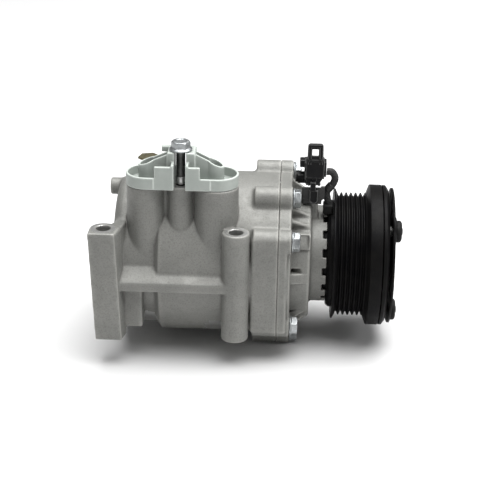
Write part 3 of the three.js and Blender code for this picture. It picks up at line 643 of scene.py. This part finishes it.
def rear_housing():
    f = Field((-190, -72, -72), (-50, 71, 71), 0.8)
    f.add(lathe("x", [
        (-172.5, 0), (-172.5, 44), *arc((-164.5, 47.5), 8, 180, 90, 6), (-141.6, REAR_R),
        (-138.4, BODY_R), (JOINT_X, BODY_R), (JOINT_X, 0),
    ]))
    for angle, radius in JOINT_BOLTS:
        f.add(rod("x", LUG_R, (LUG_BACK_X, JOINT_X + 6), around(angle, radius), 1.2), 3.5)
    f.add(block((LUG_BACK_X - 1, JOINT_X + 6), *NEAR_PAD, 2.0), 1.5)
    for x, outer, _ in PORTS:
        f.add(rod("z", outer, (0, PORT_FACE), (x, PORT_Y), 0.7), 0.7)
    f.add(rod("z", CAP_BOSS_R, (0, PORT_FACE), (CAP_BOLT_X, PORT_Y), 0.7), 1.0)
    saddle = block((PORTS[0][0], PORTS[1][0]), (PORT_Y - 2, PORT_Y + 13), (10, PORT_FACE), 0.8)
    f.add(saddle, 1.2)
    # near feet, the rib between them and the pad under it
    f.add(foot_neck(TUBE, -30), 2.5)
    f.add(rod("z", FOOT_R, (FOOT_BOTTOM, FOOT_TOP), TUBE, 1.0), 1.6)
    x, y = FOOT_BLOCK
    outline = [(-187, -69), (-168, -69), (-165.6, y), *arc((x - 0.3, y), 9.7, 20, 180, 8)]
    lean = FOOT_BLOCK_LEAN / (FOOT_TOP - FOOT_BOTTOM)
    f.add(sheared(slab("z", outline, (FOOT_BOTTOM, FOOT_TOP), 1.1), lean, FOOT_TOP), 1.0)
    web = [(-167.5, -66), (-163.2, -45.5), (-163.2, -20), (-168.5, -20), (-170.5, -42),
           (-178, -57)]
    web = slab("z", web, (FOOT_BOTTOM + 3, FOOT_TOP - 0.8), 1.2)
    f.add(sheared(web, lean * 0.6, FOOT_TOP), 2.0)
    rib = [(-45, 13), (-55.5, 8.8), (-65.6, 1.2), (-66.2, 0), (-66.2, -5.2), (-65.6, -5.9),
           (-45, -5.9)]
    f.add(slab("x", rib, (-168, TUBE[0]), 1.0), 1.6)
    f.add(block((-163, -150), (-59, -40), (-37.5, -2), 1.4), 1.6)
    # far foot and the bosses at the rear
    f.add(foot_neck(FAR_TUBE, 30), 2.5)
    f.add(rod("z", FOOT_R, (FOOT_BOTTOM, FOOT_TOP), FAR_TUBE, 1.0), 1.6)
    f.add(rod("x", 6.3, (-179.9, -160), STUB, 1.2), 2.0)
    f.add(rod("z", 10, (30, 60), VALVE, 1.0), 2.5)
    f.add(lathe("x", [(-173.8, 21), (-174.3, 23), (-174.3, 27), (-173.8, 29), (-170, 29),
                      (-170, 21)]), 1.2)
    f.add(rod("x", 5.5, (-175.2, -168), (0, 0), 1.0), 1.5)
    for angle in REAR_RIB_ANGLES:
        f.add(spun(block((-174.2, -168), (-48, -28), (-1.6, 1.6), 0.8), angle), 1.6)
    # inside and machined holes
    f.cut(lathe("x", [(-167, 0), (-167, 42), (-162, 47.5), (-112.3, 47.5), (-112.3, 52.5),
                      (JOINT_X + 9, 52.5), (JOINT_X + 9, 0)]))
    f.cut(block((JOINT_X, 0), (-80, 80), (-80, 80), 0.0), 0.35)
    for x, _, bore in PORTS:
        f.cut(rod("z", bore, (8, PORT_FACE + 6), (x, PORT_Y), 0.1), 0.5)
    f.cut(rod("z", CAP_THREAD_R, (44, PORT_FACE + 6), (CAP_BOLT_X, PORT_Y), 0.1), 0.4)
    feet = (TUBE, FOOT_BLOCK, FAR_TUBE)
    for foot in feet:
        f.cut(rod("z", FOOT_HOLE_R, (FOOT_BOTTOM - 6, FOOT_TOP + 6), foot, 0.1), 0.6)
    f.cut(rod("z", 5.3, (20, 66), VALVE, 0.1), 0.4)
    obj = sculpt("rear_casting", f, [CAST, MACHINED])

    def on_foot(x, y, _):
        return np.min([np.hypot(x - a, y - b) for a, b in feet], axis=0) < 8.6

    def at_ports(x, y, _):
        return np.abs(y - PORT_Y) < 17

    machine(obj, ("z", FOOT_TOP, on_foot), ("z", FOOT_BOTTOM, on_foot),
            ("z", PORT_FACE, at_ports), ("x", JOINT_X, everywhere))
    bored(obj, *((x, y, FOOT_HOLE_R) for x, y in feet), *((x, PORT_Y, r) for x, _, r in PORTS))
    return obj


def front_housing():
    f = Field((-60, -72, -72), (15, 71, 71), 0.7)
    f.add(lathe("x", [(-60, 0), (-60, BODY_R), (-44.7, BODY_R), (-44.1, 59.4), (-43.8, 50.5),
                      (-40, 0)]))
    f.add(block((-60, -46.2), *NEAR_PAD, 1.6), 1.0)
    for angle, radius in JOINT_BOLTS:
        f.add(rod("x", LUG_R, (-60, LUG_FACE_X), around(angle, radius), 1.0), 2.6)
    f.cut(block((-80, JOINT_X + JOINT_GAP), (-80, 80), (-80, 80), 0.0), 0.35)
    # shoulder, gussets and nose
    f.add(lathe("x", [(-50, 0), (-50, SHOULDER_R), (-31, SHOULDER_R), (SHOULDER_X, 47),
                      (SHOULDER_X, 0)]), 1.0)
    f.add(lathe("x", [(-32, 0), (-32, 38), *arc((-27.4, 38.2), 2.2, 180, 270, 4),
                      (NOSE_END_X, NOSE_R), (NOSE_END_X, 33.8), (-20, 33.8), (-20, 0)]), 0.8)
    for angle, thick in GUSSETS:
        outline = [(-45, 40), (-45, 57), (-43, 56.4), (-31.6, 48.4), (-30.4, 46), (-30.4, 40)]
        gusset = slab("z", [(x, -r) for x, r in outline], (-thick / 2, thick / 2), 0.9)
        f.add(spun(gusset, -angle), 2.2)
    # step beside the second bolt, dark pocket and sloping ledge under it, and the lowest web
    f.add(block((-43, SHOULDER_X), (-44.9, -30), (21.6, 32), 0.5), 0.6)
    pocket = [(LUG_FACE_X, -60), (LUG_FACE_X, -42.5), (-35.2, -47.8), (-35.2, -60)]
    f.cut(slab("z", pocket, (4.2, 7.6), 0.3), 0.3)
    ledge = [(-44, -40), (-44, -50.4), (-42.4, -50.2), (-31.4, -48.1), (-30, -40)]
    f.add(slab("z", ledge, (-3.8, 4.2), 0.4), 0.4)
    web = [(-44, -38.6), (-42.9, -38.4), (-31, -30.2), (-31, -26), (-44, -33)]
    f.add(slab("y", web, (-37.5, -24), 0.6), 0.8)
    # seat of the connector bracket, with the flat beside it
    f.add(block((-37, -25), (-15, -3), (30, 49.3), 0.8), 1.6)
    f.cut(spun(block((-46, -31), (-60, -50.5), (-9, 7), 1.5), -30.2), 1.2)
    f.add(lathe("x", [(-26, 0), (-26, 17.4), (10.6, 17.4), (11, 17), (11, 16.2), (12.5, 16.2),
                      (12.5, 17), (13, 16.6), (13, 0)]), 0.3)
    f.add(lathe("x", [(-57.3, 46.3), (-57.3, 51.6), (-56.8, 52.1), (-56.2, 52.1), (-56.2, 50),
                      (-54.1, 50), (-54.1, 52.1), (-51, 52.1), (-51, 40), (-55.1, 40),
                      (-55.1, 46.3)]))
    # inside
    f.cut(lathe("x", [(-62, 0), (-62, 30), (-38.6, 30), (-38, 29.4), (-38, 23.8),
                      (-22.7, 23.8), (-22.7, 12), (8.4, 12), (8.4, 12.9), (10, 12.9), (10, 12),
                      (16, 12), (16, 0)]), 0.2)
    f.cut(rod("z", 2.3, (41, 51), SCREW_HOLE, 0.1))
    for n in range(NOTCHES):
        notch = block((-20.7, -15), (-39, -33), (-3.1, 3.1), 0.7)
        f.cut(spun(notch, -(NOTCH_START + 360 / NOTCHES * n)), 0.5)
    obj = sculpt("front_casting", f, [CAST, MACHINED])
    seats = [around(a, r) for a, r in JOINT_BOLTS]

    def on_lug(_, y, z):
        return np.min([np.hypot(y - a, z - b) for a, b in seats], axis=0) < 8.2

    machine(obj, ("x", LUG_FACE_X, on_lug), ("x", JOINT_X + JOINT_GAP, everywhere))
    return obj


piece(rear_housing(), "housing", "casting", "rear_housing")
piece(front_housing(), "housing", "casting", "front_housing")


# ---------------------------------------------------------------- bolts
HEXAGON = 12
HEAD_FLANGE_R = 7.6
THREAD_PITCH = 0.8
CAP_SEAT_Z = 93.3


def hexagon(across, turn=0.0):
    r = across / math.sqrt(3)
    angles = [turn + math.pi * n / 3 for n in range(6)]
    return [(r * math.cos(a), r * math.sin(a)) for a in angles]


def flanged_head(axis, across, flange_r, flange_h, height, step, shank_r, shank):
    """Hexagon head with its flange, seat at 0, shank below it."""
    reach = flange_r + 1.2
    low, high = [-reach] * 3, [reach] * 3
    i, _ = others(axis)
    low[i], high[i] = -shank - 1.2, height + 1.2
    f = Field(low, high, step)
    r = across / 2
    f.add(slab(axis, hexagon(across), (flange_h * 0.4, height), 0.35))
    chamfer = height - 0.9
    f.keep(lathe(axis, [(-60, 0), (-60, 30), (chamfer, 30), (chamfer, r * 1.155 - 0.05),
                        (height, r * 0.93), (height, 0)]), 0.3)
    f.cut(rod(axis, r * 0.62, (height - 0.5, height + 3), (0, 0), 0.2), 0.3)
    f.add(lathe(axis, [(0, 0), (0, flange_r - 0.3), (0.3, flange_r), (flange_h * 0.5, flange_r),
                       (flange_h, flange_r - 1.6), (flange_h, 0)]), 0.4)
    if shank_r:
        f.add(rod(axis, shank_r, (-shank, 1), (0, 0), 0.5))
    return f.surface()


def joint_bolts():
    points, quads = flanged_head("x", HEXAGON, HEAD_FLANGE_R, 1.9, 6, 0.32, 3.8, 22)
    for n, (angle, radius) in enumerate(JOINT_BOLTS):
        y, z = around(angle, radius)
        a = math.pi / 12 * n
        c, s = math.cos(a), math.sin(a)
        turn = np.array([[1, 0, 0], [0, c, -s], [0, s, c]])
        placed = points @ turn.T + np.array([BOLT_SEAT_X, y, z])
        obj = new_object(f"joint_screw_{n + 1}", placed, quads, [ZINC], sharp=0)
        piece(obj, "housing", "zinc", f"joint_bolt_{n + 1}")


joint_bolts()


def cap_bolt():
    head, quads = flanged_head("z", 12.04, 8.2, 1.9, 6.7, 0.28, 0, 0)
    head = head + np.array([CAP_BOLT_X, PORT_Y, CAP_SEAT_Z])
    obj = new_object("cap_screw_head", head, quads, [ZINC], sharp=0)
    piece(obj, "cap_bolt", "zinc", "cap_bolt")
    outline = [(92.6, 3.2), (72, 3.2)]
    z = 71.6
    while z > 47.5:
        outline += [(z, 3.25), (z - THREAD_PITCH / 2, 2.75)]
        z -= THREAD_PITCH
    outline += [(46.3, 2.6), (46, 0.02), (93.6, 0.02), (93.6, 3.2)]
    centre = (CAP_BOLT_X, PORT_Y)
    piece(turned("cap_screw_shank", outline, [DARK_STEEL], 48, centre, "z"), "cap_bolt", "zinc")
    collar = fillet([(68.2, 3.0), (68.2, 3.7), (73.6, 3.7), (73.6, 3.0)], 0.3)
    piece(turned("cap_screw_collar", collar, [STEEL], 48, centre, "z"), "cap_bolt", "zinc")


cap_bolt()


# ---------------------------------------------------------------- relief valve
PLATED_ABOVE = 69.9


def relief_valve():
    x, y = VALVE
    f = Field((-162, -8, 44), (-139, 16, 74), 0.3)
    f.add(rod("z", 5, (46, 61), VALVE, 0.4))
    f.add(slab("z", [(x + a, y + b) for a, b in hexagon(14.5)], (60.3, 66), 0.5), 0.2)
    f.add(rod("z", 5.4, (65, 71), VALVE, 0.4), 0.8)
    f.add(slab("z", [(x + a, y + b) for a, b in hexagon(14.6, 0.26)], (70.4, 72), 0.4), 0.3)
    obj = sculpt("relief_valve_body", f, [DARK_STEEL, OLIVE])
    n = len(obj.data.polygons)
    centres = np.empty(3 * n)
    obj.data.polygons.foreach_get("center", centres)
    z = centres.reshape(-1, 3)[:, 2] * 1000 - SHIFT[2]
    obj.data.polygons.foreach_set("material_index", (z > PLATED_ABOVE).astype(np.int32))
    piece(obj, "housing", "brass", "relief_valve")


relief_valve()


# ---------------------------------------------------------------- pulley and clutch
GROOVE_PITCH = 3.56
GROOVES = 6
LAND, ROOT = 0.42, 0.3  # half widths of a crest and of the bottom of a groove
FLANK_R, ROOT_R, CREST_R = 46.0, 43.4, 46.2


def groove_profile():
    start = -GROOVES * GROOVE_PITCH / 2
    points = []
    for n in range(GROOVES):
        x = start + GROOVE_PITCH * n
        middle = x + GROOVE_PITCH / 2
        points += [(x + LAND, FLANK_R), (middle - ROOT, ROOT_R), (middle + ROOT, ROOT_R),
                   (x + GROOVE_PITCH - LAND, FLANK_R)]
        if n < GROOVES - 1:
            points.append((x + GROOVE_PITCH, CREST_R))
    return points


def pulley():
    outline = fillet([
        (-12.9, 42.5), (-12.9, 48.9), (-11.7, 48.9), *groove_profile(), (11.0, CREST_R),
        (13.4, 52.6), (22.1, 52.6), (22.1, 33.8), (19.1, 27.8), (-9.6, 27.8), (-9.6, 31.6),
        (17.4, 31.6), (17.4, 41), (-11.9, 41),
    ], 0.28, 2)
    piece(turned("pulley_rim", outline, [PAINT], 160, sharp=30), "pulley", "black", "pulley")


DAMPER_ANGLES = (48.5, 168.5, -71.5)
DAMPER_CIRCLE = 41
DIMPLE_ANGLES = (108.5, 228.5, -11.5)
DIMPLE_CIRCLE = 38
HUB_BOLT_SEAT = 28.7


def clutch():
    shell = fillet([
        (-19.6, 21), (-19.6, 33.4), (-17.1, 33.4), (-17.1, 38.4), (-15, 40.2), (13.5, 40.2),
        (13.5, 38.6), (-15.4, 38.6), (-15.4, 33.9), (13.5, 33.9), (13.5, 32.2), (-17.8, 32.2),
        (-17.8, 21),
    ], 0.4, 2)
    piece(turned("coil_housing", shell, [PAINT]), "housing", "black", "coil_shell")
    plate = fillet([(22.9, 30), (22.9, 52.4), (25.2, 52.4), (27.2, 49.6), (27.2, 30)], 0.35, 2)
    piece(turned("armature", plate, [PAINT]), "armature", "black", "armature_plate")
    hub = Field((12, -53, -53), (36, 53, 53), 0.5)
    hub.add(lathe("x", fillet([
        (14.6, 0.0), (14.6, 11.5), (29.3, 14), (29.3, 50.5), (31.1, 50.5), (31.1, 14), (32.4, 12),
        (32.4, 0.0),
    ], 0.25, 2)))
    hub.add(lathe("x", [(30.4, 24), (31.05, 24.6), (31.8, 27), (31.05, 29.4), (30.4, 30)]), 0.8)
    for angle in DAMPER_ANGLES:
        hub.add(rod("x", 10.2, (30, 31.9), around(angle, DAMPER_CIRCLE), 0.5), 1.0)
    for angle in DIMPLE_ANGLES:
        centre = around(angle, DIMPLE_CIRCLE)
        hub.add(rod("x", 5.4, (30, 31.9), centre, 0.4), 0.8)
        hub.cut(rod("x", 3.6, (30.2, 36), centre, 0.2), 0.3)
    hub.cut(rod("x", 8.4, (28.3, 40), (0, 0), 0.1), 0.3)
    hub.cut(rod("x", 6.8, (10, 40), (0, 0), 0.1))
    for angle in DAMPER_ANGLES:
        hub.cut(rod("x", 3.2, (20, 40), around(angle, DAMPER_CIRCLE), 0.1))
    piece(sculpt("hub_plate", hub, [PAINT]), "shaft", "black", "clutch_hub")
    damper = fillet([(31.95, 3.2), (31.95, 8), (34.7, 8), (35.9, 6.6), (35.9, 3.2)], 0.5)
    rivet = fillet([(27.5, 0.02), (27.5, 4), (28.4, 4), (28.4, 2.4), (36.1, 2.4), (36.2, 2.9),
                    (36.7, 2.2), (36.7, 0.02)], 0.15, 2)
    for n, angle in enumerate(DAMPER_ANGLES, 1):
        centre = around(angle, DAMPER_CIRCLE)
        obj = turned(f"damper_{n}", damper, [RUBBER], 48, centre)
        piece(obj, "shaft", "rubber", f"hub_damper_{n}")
        obj = turned(f"rivet_{n}", rivet, [DARK_STEEL], 32, centre)
        piece(obj, "armature", "steel", f"armature_rivet_{n}")
    head, quads = flanged_head("x", HEXAGON, HEAD_FLANGE_R, 1.7, 5.7, 0.3, 3, 12)
    head = head + np.array([HUB_BOLT_SEAT, 0, 0])
    obj = new_object("hub_screw", head, quads, [ZINC], sharp=0)
    piece(obj, "shaft", "zinc", "hub_bolt")


pulley()
clutch()


# ---------------------------------------------------------------- port cap
CAP_R = 15
CAP_WALL = 1.3
SLOT = (-127.4, -119.2)  # x of the walls beside the bolt


def port_cap():
    base, rim, top = 67.8, 76.6, 93.0
    front = PORT_Y - CAP_R
    ends = (-147.4, -97.2)
    left, right = -147.2, -98.9  # centres of the two domes
    dome_r, web = 6.3, 4.2
    back, middle = -28, -46

    def oval(radius):
        return [*arc((ends[1], PORT_Y), radius, -90, 90, 48),
                *arc((ends[0], PORT_Y), radius, 90, 270, 48)]

    f = Field((-165, -56, 57), (-79, -22, 95), 0.5)
    f.add(slab("z", oval(CAP_R), (base, rim), 0.5))
    f.cut(slab("z", oval(13.4), (base + 2, rim + 4), 0.3), 0.3)
    # the domes are hollow, and so are the webs that join them to the slot
    for x, inner in ((left, -132.0), (right, -114.0)):
        f.add(rod("z", dome_r, (base + 1, 96), (x, PORT_Y), 0.3))
        f.add(block(sorted((x, inner)), (PORT_Y - web, PORT_Y + web), (base + 1, 96), 0.3))
    f.add(block((-133, SLOT[0]), (middle, back), (base, top), 0.5))
    f.add(block((SLOT[1], -112.6), (middle, back), (base, top), 0.5))
    roof = [(-165, 100), (-165, 77.6), (left, 84.4), (-133, 90.6), (-132, top + 0.01),
            (-113.6, top + 0.01), (-112.6, 91.4), (right, 84.6), (-79, 76), (-79, 100)]
    f.cut(slab("y", roof, (-60, -20), 0.0), 0.3)
    f.add(block((-137.6, SLOT[0]), (-32, back), (88.8, top), 0.4))
    for x, inner in ((left, -132.0 - 1.4), (right, -114.0 + 1.4)):
        f.cut(rod("z", dome_r - CAP_WALL, (base + 3, 98), (x, PORT_Y), 0.3), 0.2)
        f.cut(block(sorted((x, inner)), (PORT_Y - web + CAP_WALL, PORT_Y + web - CAP_WALL),
                    (base + 3, 98), 0.3), 0.2)
    # plates at the front edge and the cheeks of the slot
    f.add(block((-141, SLOT[0]), (front, front + 2.6), (base, 85), 0.5), 0.3)
    f.add(block((SLOT[1], -109), (front, front + 2.6), (base, 85), 0.5), 0.3)
    f.add(block((-129.4, SLOT[0]), (front, -44), (base, 86.5), 0.5), 0.3)
    f.add(block((SLOT[1], -117.2), (front, -44), (base, 86.5), 0.5), 0.3)
    for x, _, bore in PORTS:
        f.add(rod("z", bore - 0.4, (base - 8, base + 2), (x, PORT_Y), 0.8))
        f.cut(rod("z", bore - 2.4, (base - 12, base + 1.2), (x, PORT_Y), 0.4))
    f.cut(block(SLOT, (front - 3, -28.5), (base - 3, top + 3), 0.1), 0.25)
    piece(sculpt("port_cover", f, [CAP_PLASTIC]), "cap", "cap_plastic", "port_cap")


port_cap()


# ---------------------------------------------------------------- coil connector
PLUG_Y = SCREW_HOLE[1]
EAR = (PLUG_Y, 64.6)
TONGUE = (-28.6, 50.6)  # centre of the round end of the tongue, x and z


def tongue(radius, top):
    x, _ = TONGUE
    return [(x - radius, top), (x - radius, 51), *arc(TONGUE, radius, 180, 360, 10),
            (x + radius, top)]


def connector():
    f = Field((-44, -23, 44), (-17, -1, 83), 0.27)
    f.add(block((-35.8, -21.2), (-15.6, -3.5), (65, 78), 0.6))
    f.add(block((-35.4, -24), (-15.2, -4.5), (61.2, 67), 0.5), 0.3)
    f.add(block((-39.2, -35), (-13.5, -6.5), (73, 78.6), 0.5), 0.3)
    f.add(block((-22, -19.8), (-13.5, -5.5), (66, 77.5), 0.5), 0.3)
    f.add(rod("x", 3.9, (-42.2, -34.5), EAR, 0.5), 0.5)
    f.add(block((-40.6, -34.5), (-13.4, -6), (60.6, 67.4), 0.8), 0.4)
    f.cut(rod("x", 2.2, (-46, -38.6), EAR, 0.3), 0.2)
    shield = [(-35.4, 65.8), (-35.4, 70.6), (-32.4, 75.8), (-24, 75.8), (-21.8, 70.6),
              (-22.4, 65.8), (-24.6, 62), (-33.6, 62)]
    f.add(slab("y", shield, (-17.2, -14.5), 0.4), 0.2)
    inner = [(-33.6, 66.6), (-33.6, 70), (-31.4, 73.8), (-25, 73.8), (-23.4, 70), (-24, 66.6)]
    f.cut(slab("y", inner, (-19, -15.9), 0.3), 0.2)
    f.add(block((-29.9, -26.5), (-17.5, -15), (62, 72.6), 0.4), 0.2)
    for x in (-32.2, -24.9):
        f.add(block((x - 0.5, x + 0.5), (-17.2, -15), (60, 72), 0.3), 0.2)
    # tongue over the bracket with slots beside it and a raised edge round its end
    f.add(block((-31.2, -27.2), (-20.4, -15), (56, 64), 0.4), 0.3)
    f.add(slab("y", tongue(3.1, 58), (-20.6, -18.3), 0.4), 0.2)
    f.cut(slab("y", tongue(2.3, 57.4), (-22, -20.2), 0.3), 0.1)
    f.add(block((-34.6, -23.8), (-17.6, -15), (60.8, 62.4), 0.3), 0.2)
    f.cut(block((-34, -23), (-13.9, -5.5), (68, 85), 0.3), 0.2)
    obj = sculpt("connector_shell", f, [BLACK_PLASTIC])
    piece(obj, "housing", "black_plastic", "connector_body")


def latch():
    f = Field((-37, -20, 64), (-19, -14, 95), 0.22)
    loop = [(-34.6, 66.4), (-34.9, 78), (-34.0, 82.4), (-33.8, 91.4), (-32.6, 92.8),
            (-23.8, 92.8), (-22.6, 91.4), (-22.4, 82.4), (-21.5, 78), (-21.8, 66.4)]
    f.add(slab("y", fillet(loop, 0.8), (-17.9, -16.1), 0.45))
    for x in (-33.2, -31.4, -25.0, -23.2):
        f.add(block((x - 0.45, x + 0.45), (-18.5, -16.6), (77, 91.6), 0.3), 0.2)
    f.add(block((-33.6, -22.8), (-18.5, -16.6), (90.2, 92.2), 0.4), 0.2)
    f.add(block((-33, -23.4), (-18.7, -16.6), (79, 81), 0.5), 0.3)
    f.cut(block((-30.6, -26), (-22, -12), (83.5, 88.6), 0.3), 0.2)
    obj = sculpt("connector_clip", f, [BLACK_PLASTIC])
    piece(obj, "latch", "black_plastic", "connector_latch")


def bracket():
    f = Field((-39, -20, 44), (-18, -1, 62), 0.33)
    f.add(block((-37, -22), (-18, -3.5), (49.6, 51.2), 0.4))
    f.add(block((-37, -22.6), (-18, -16.2), (46.4, 59.2), 0.5), 0.8)
    f.add(block((-23.4, -20.4), (-17.6, -14), (50, 59.4), 0.6), 0.5)
    f.cut(rod("z", 2.4, (45, 55), SCREW_HOLE, 0.1))
    piece(sculpt("plug_bracket", f, [BRACKET]), "housing", "steel", "connector_bracket")

    head, quads = flanged_head("z", 6.8, 4.2, 0.9, 2.9, 0.25, 2, 8)
    head = head + np.array([*SCREW_HOLE, 51.5])
    obj = new_object("bracket_bolt", head, quads, [ZINC], sharp=0)
    piece(obj, "housing", "zinc", "bracket_screw")


connector()
latch()
bracket()


# ---------------------------------------------------------------- coil lead
SLEEVE_R, WEAVE_DEPTH = 2.45, 0.2
STRANDS = 6


def smooth_path(points, steps):
    """Points along a Catmull-Rom curve."""
    p = [np.array(q, float) for q in points]
    p = [2 * p[0] - p[1], *p, 2 * p[-1] - p[-2]]
    path = []
    for a, b, c, d in zip(p, p[1:], p[2:], p[3:]):
        for n in range(steps):
            t = n / steps
            path.append(0.5 * (2 * b + (c - a) * t + (2 * a - 5 * b + 4 * c - d) * t ** 2
                               + (3 * b - a - 3 * c + d) * t ** 3))
    path.append(p[-2])
    return path


def coil_lead():
    route = [(-19.4, 69), (-15.6, 68.6), (-13.3, 64.4), (-14.6, 59.6), (-17.6, 56),
             (-18.9, 52.4), (-18.3, 48.4), (-17.4, 44.6), (-17.2, 40.3)]
    path = smooth_path([(x, PLUG_Y, z) for x, z in route], 22)
    sides, twist = 36, 1.21
    points, faces, travelled = [], [], 0.0
    for n, here in enumerate(path):
        ahead = path[min(n + 1, len(path) - 1)] - path[max(n - 1, 0)]
        ahead /= np.linalg.norm(ahead)
        side = np.array([0.0, 1.0, 0.0])
        up = np.cross(ahead, side)
        if n:
            travelled += np.linalg.norm(here - path[n - 1])
        for s in range(sides):
            a = 2 * math.pi * s / sides
            weave = max(abs(math.sin(STRANDS * a / 2 + sign * twist * travelled))
                        for sign in (1, -1))
            r = SLEEVE_R + WEAVE_DEPTH * weave
            points.append(here + side * (r * math.cos(a)) + up * (r * math.sin(a)))
    rings = len(path)
    for n in range(rings - 1):
        for s in range(sides):
            t = (s + 1) % sides
            faces.append((n * sides + s, n * sides + t, (n + 1) * sides + t, (n + 1) * sides + s))
    faces.append(tuple(range(sides))[::-1])
    faces.append(tuple((rings - 1) * sides + s for s in range(sides)))
    obj = new_object("lead_sleeve", points, [f[::-1] for f in faces], [SLEEVE], sharp=60)
    piece(obj, "housing", "rubber", "coil_lead")
    grommet = Field((-23, -18, 35), (-12, -2, 47), 0.35)
    grommet.add(block((-21.2, -14), (-15.5, -4.5), (37.2, 44.5), 1.2))
    piece(sculpt("lead_grommet", grommet, [RUBBER]), "housing", "rubber")
    clip = Field((-23, -15, 50), (-11, -4, 62), 0.3)
    ring = rod("x", 3.1, (-2.6, 2.6), (0, 0), 0.4)
    clip.add(tilted(ring, (-17.0, PLUG_Y, 56.8), -52))
    piece(sculpt("lead_clip", clip, [BRACKET]), "housing", "rubber")


coil_lead()


# ---------------------------------------------------------------- pieces kept as the CAD made them
KEPT = {
    STEEL: ["reed_stop", "reed_screw", "discharge_reed", "drive_bearing", "eccentric_bush",
            "thrust_plate", "crankshaft", "counterweight", "nose_bearing", "seal_retaining_ring",
            "bearing_retaining_ring", "coil_retaining_ring", "hub_shim", "dowel_pin_1",
            "dowel_pin_2", "anti_rotation_pin_1", "anti_rotation_pin_2", "anti_rotation_pin_3",
            "main_bearing_outer_ring", "main_bearing_inner_ring", "pulley_bearing_outer_ring",
            "pulley_bearing_inner_ring"],
    ALLOY: ["fixed_scroll", "orbiting_scroll"],
    BRASS: ["main_bearing_cage", "pulley_bearing_cage"],
    COPPER: ["coil_winding", "connector_terminal_1", "connector_terminal_2"],
    SEAL: ["housing_o_ring", "fixed_scroll_o_ring", "shaft_seal"],
}
for finish, names in KEPT.items():
    for name in names:
        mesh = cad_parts[name].data
        mesh.materials.clear()
        mesh.materials.append(finish)


# ---------------------------------------------------------------- floor, light and camera
FLOOR_HALF = 6.0
FLOOR_DROP = 0.0004
SKY_STRENGTH = 0.26
LAMPS = [  # name, place in metres, size, watts
    ("overhead", (0.3, 0.0, 1.9), 2.4, 100),
    ("right", (1.4, -0.3, 0.8), 0.5, 5),
]
AZIMUTH, ELEVATION, ROLL = 2.19, 23.47, 0.89
LENS, SENSOR = 101.8, 36
CAMERA_PLACE = (-46.4, -936.7, 415.4)


def stage():
    g = Graph("pale_floor")
    colour = g.mix(g.noise(400, 3), (0.63, 0.63, 0.63), (0.65, 0.65, 0.65))
    floor_material = g.set(colour=colour, roughness=0.7)
    mesh = bpy.data.meshes.new("floor")
    far = FLOOR_HALF
    corners = [(-far, -far, 0), (far, -far, 0), (far, far, 0), (-far, far, 0)]
    mesh.from_pydata(corners, [], [(0, 1, 2, 3)])
    mesh.materials.append(floor_material)
    floor = bpy.data.objects.new("floor", mesh)
    bpy.context.scene.collection.objects.link(floor)
    floor.location.z = -FLOOR_DROP

    world = bpy.context.scene.world or bpy.data.worlds.new("studio")
    bpy.context.scene.world = world
    world.use_nodes = True
    background = world.node_tree.nodes["Background"].inputs
    background["Color"].default_value = (1, 1, 1, 1)
    background["Strength"].default_value = SKY_STRENGTH
    bpy.context.scene.view_settings.view_transform = "Standard"

    centre = (CAD_BOX[0] + CAD_BOX[1]) / 2
    for name, place, size, power in LAMPS:
        light = bpy.data.lights.new(name, "AREA")
        light.shape, light.size, light.energy = "DISK", size, power
        obj = bpy.data.objects.new(name, light)
        obj.location = place
        obj.rotation_euler = (centre - Vector(place)).to_track_quat("-Z", "Y").to_euler()
        bpy.context.scene.collection.objects.link(obj)


def camera():
    azimuth, elevation, roll = (math.radians(a) for a in (AZIMUTH, ELEVATION, ROLL))
    level = math.cos(elevation)
    back = Vector((math.sin(azimuth) * level, -math.cos(azimuth) * level, math.sin(elevation)))
    right = Vector((0, 0, 1)).cross(back).normalized()
    up = back.cross(right)
    c, s = math.cos(roll), math.sin(roll)
    right, up = right * c + up * s, up * c - right * s
    data = bpy.data.cameras.new("camera")
    data.lens, data.sensor_width = LENS, SENSOR
    obj = bpy.data.objects.new("camera", data)
    place = to_frame([CAMERA_PLACE])[0]
    turn = Matrix((right, up, back)).transposed().to_4x4()
    obj.matrix_world = Matrix.Translation(Vector(place)) @ turn
    bpy.context.scene.collection.objects.link(obj)
    bpy.context.scene.camera = obj


stage()
camera()
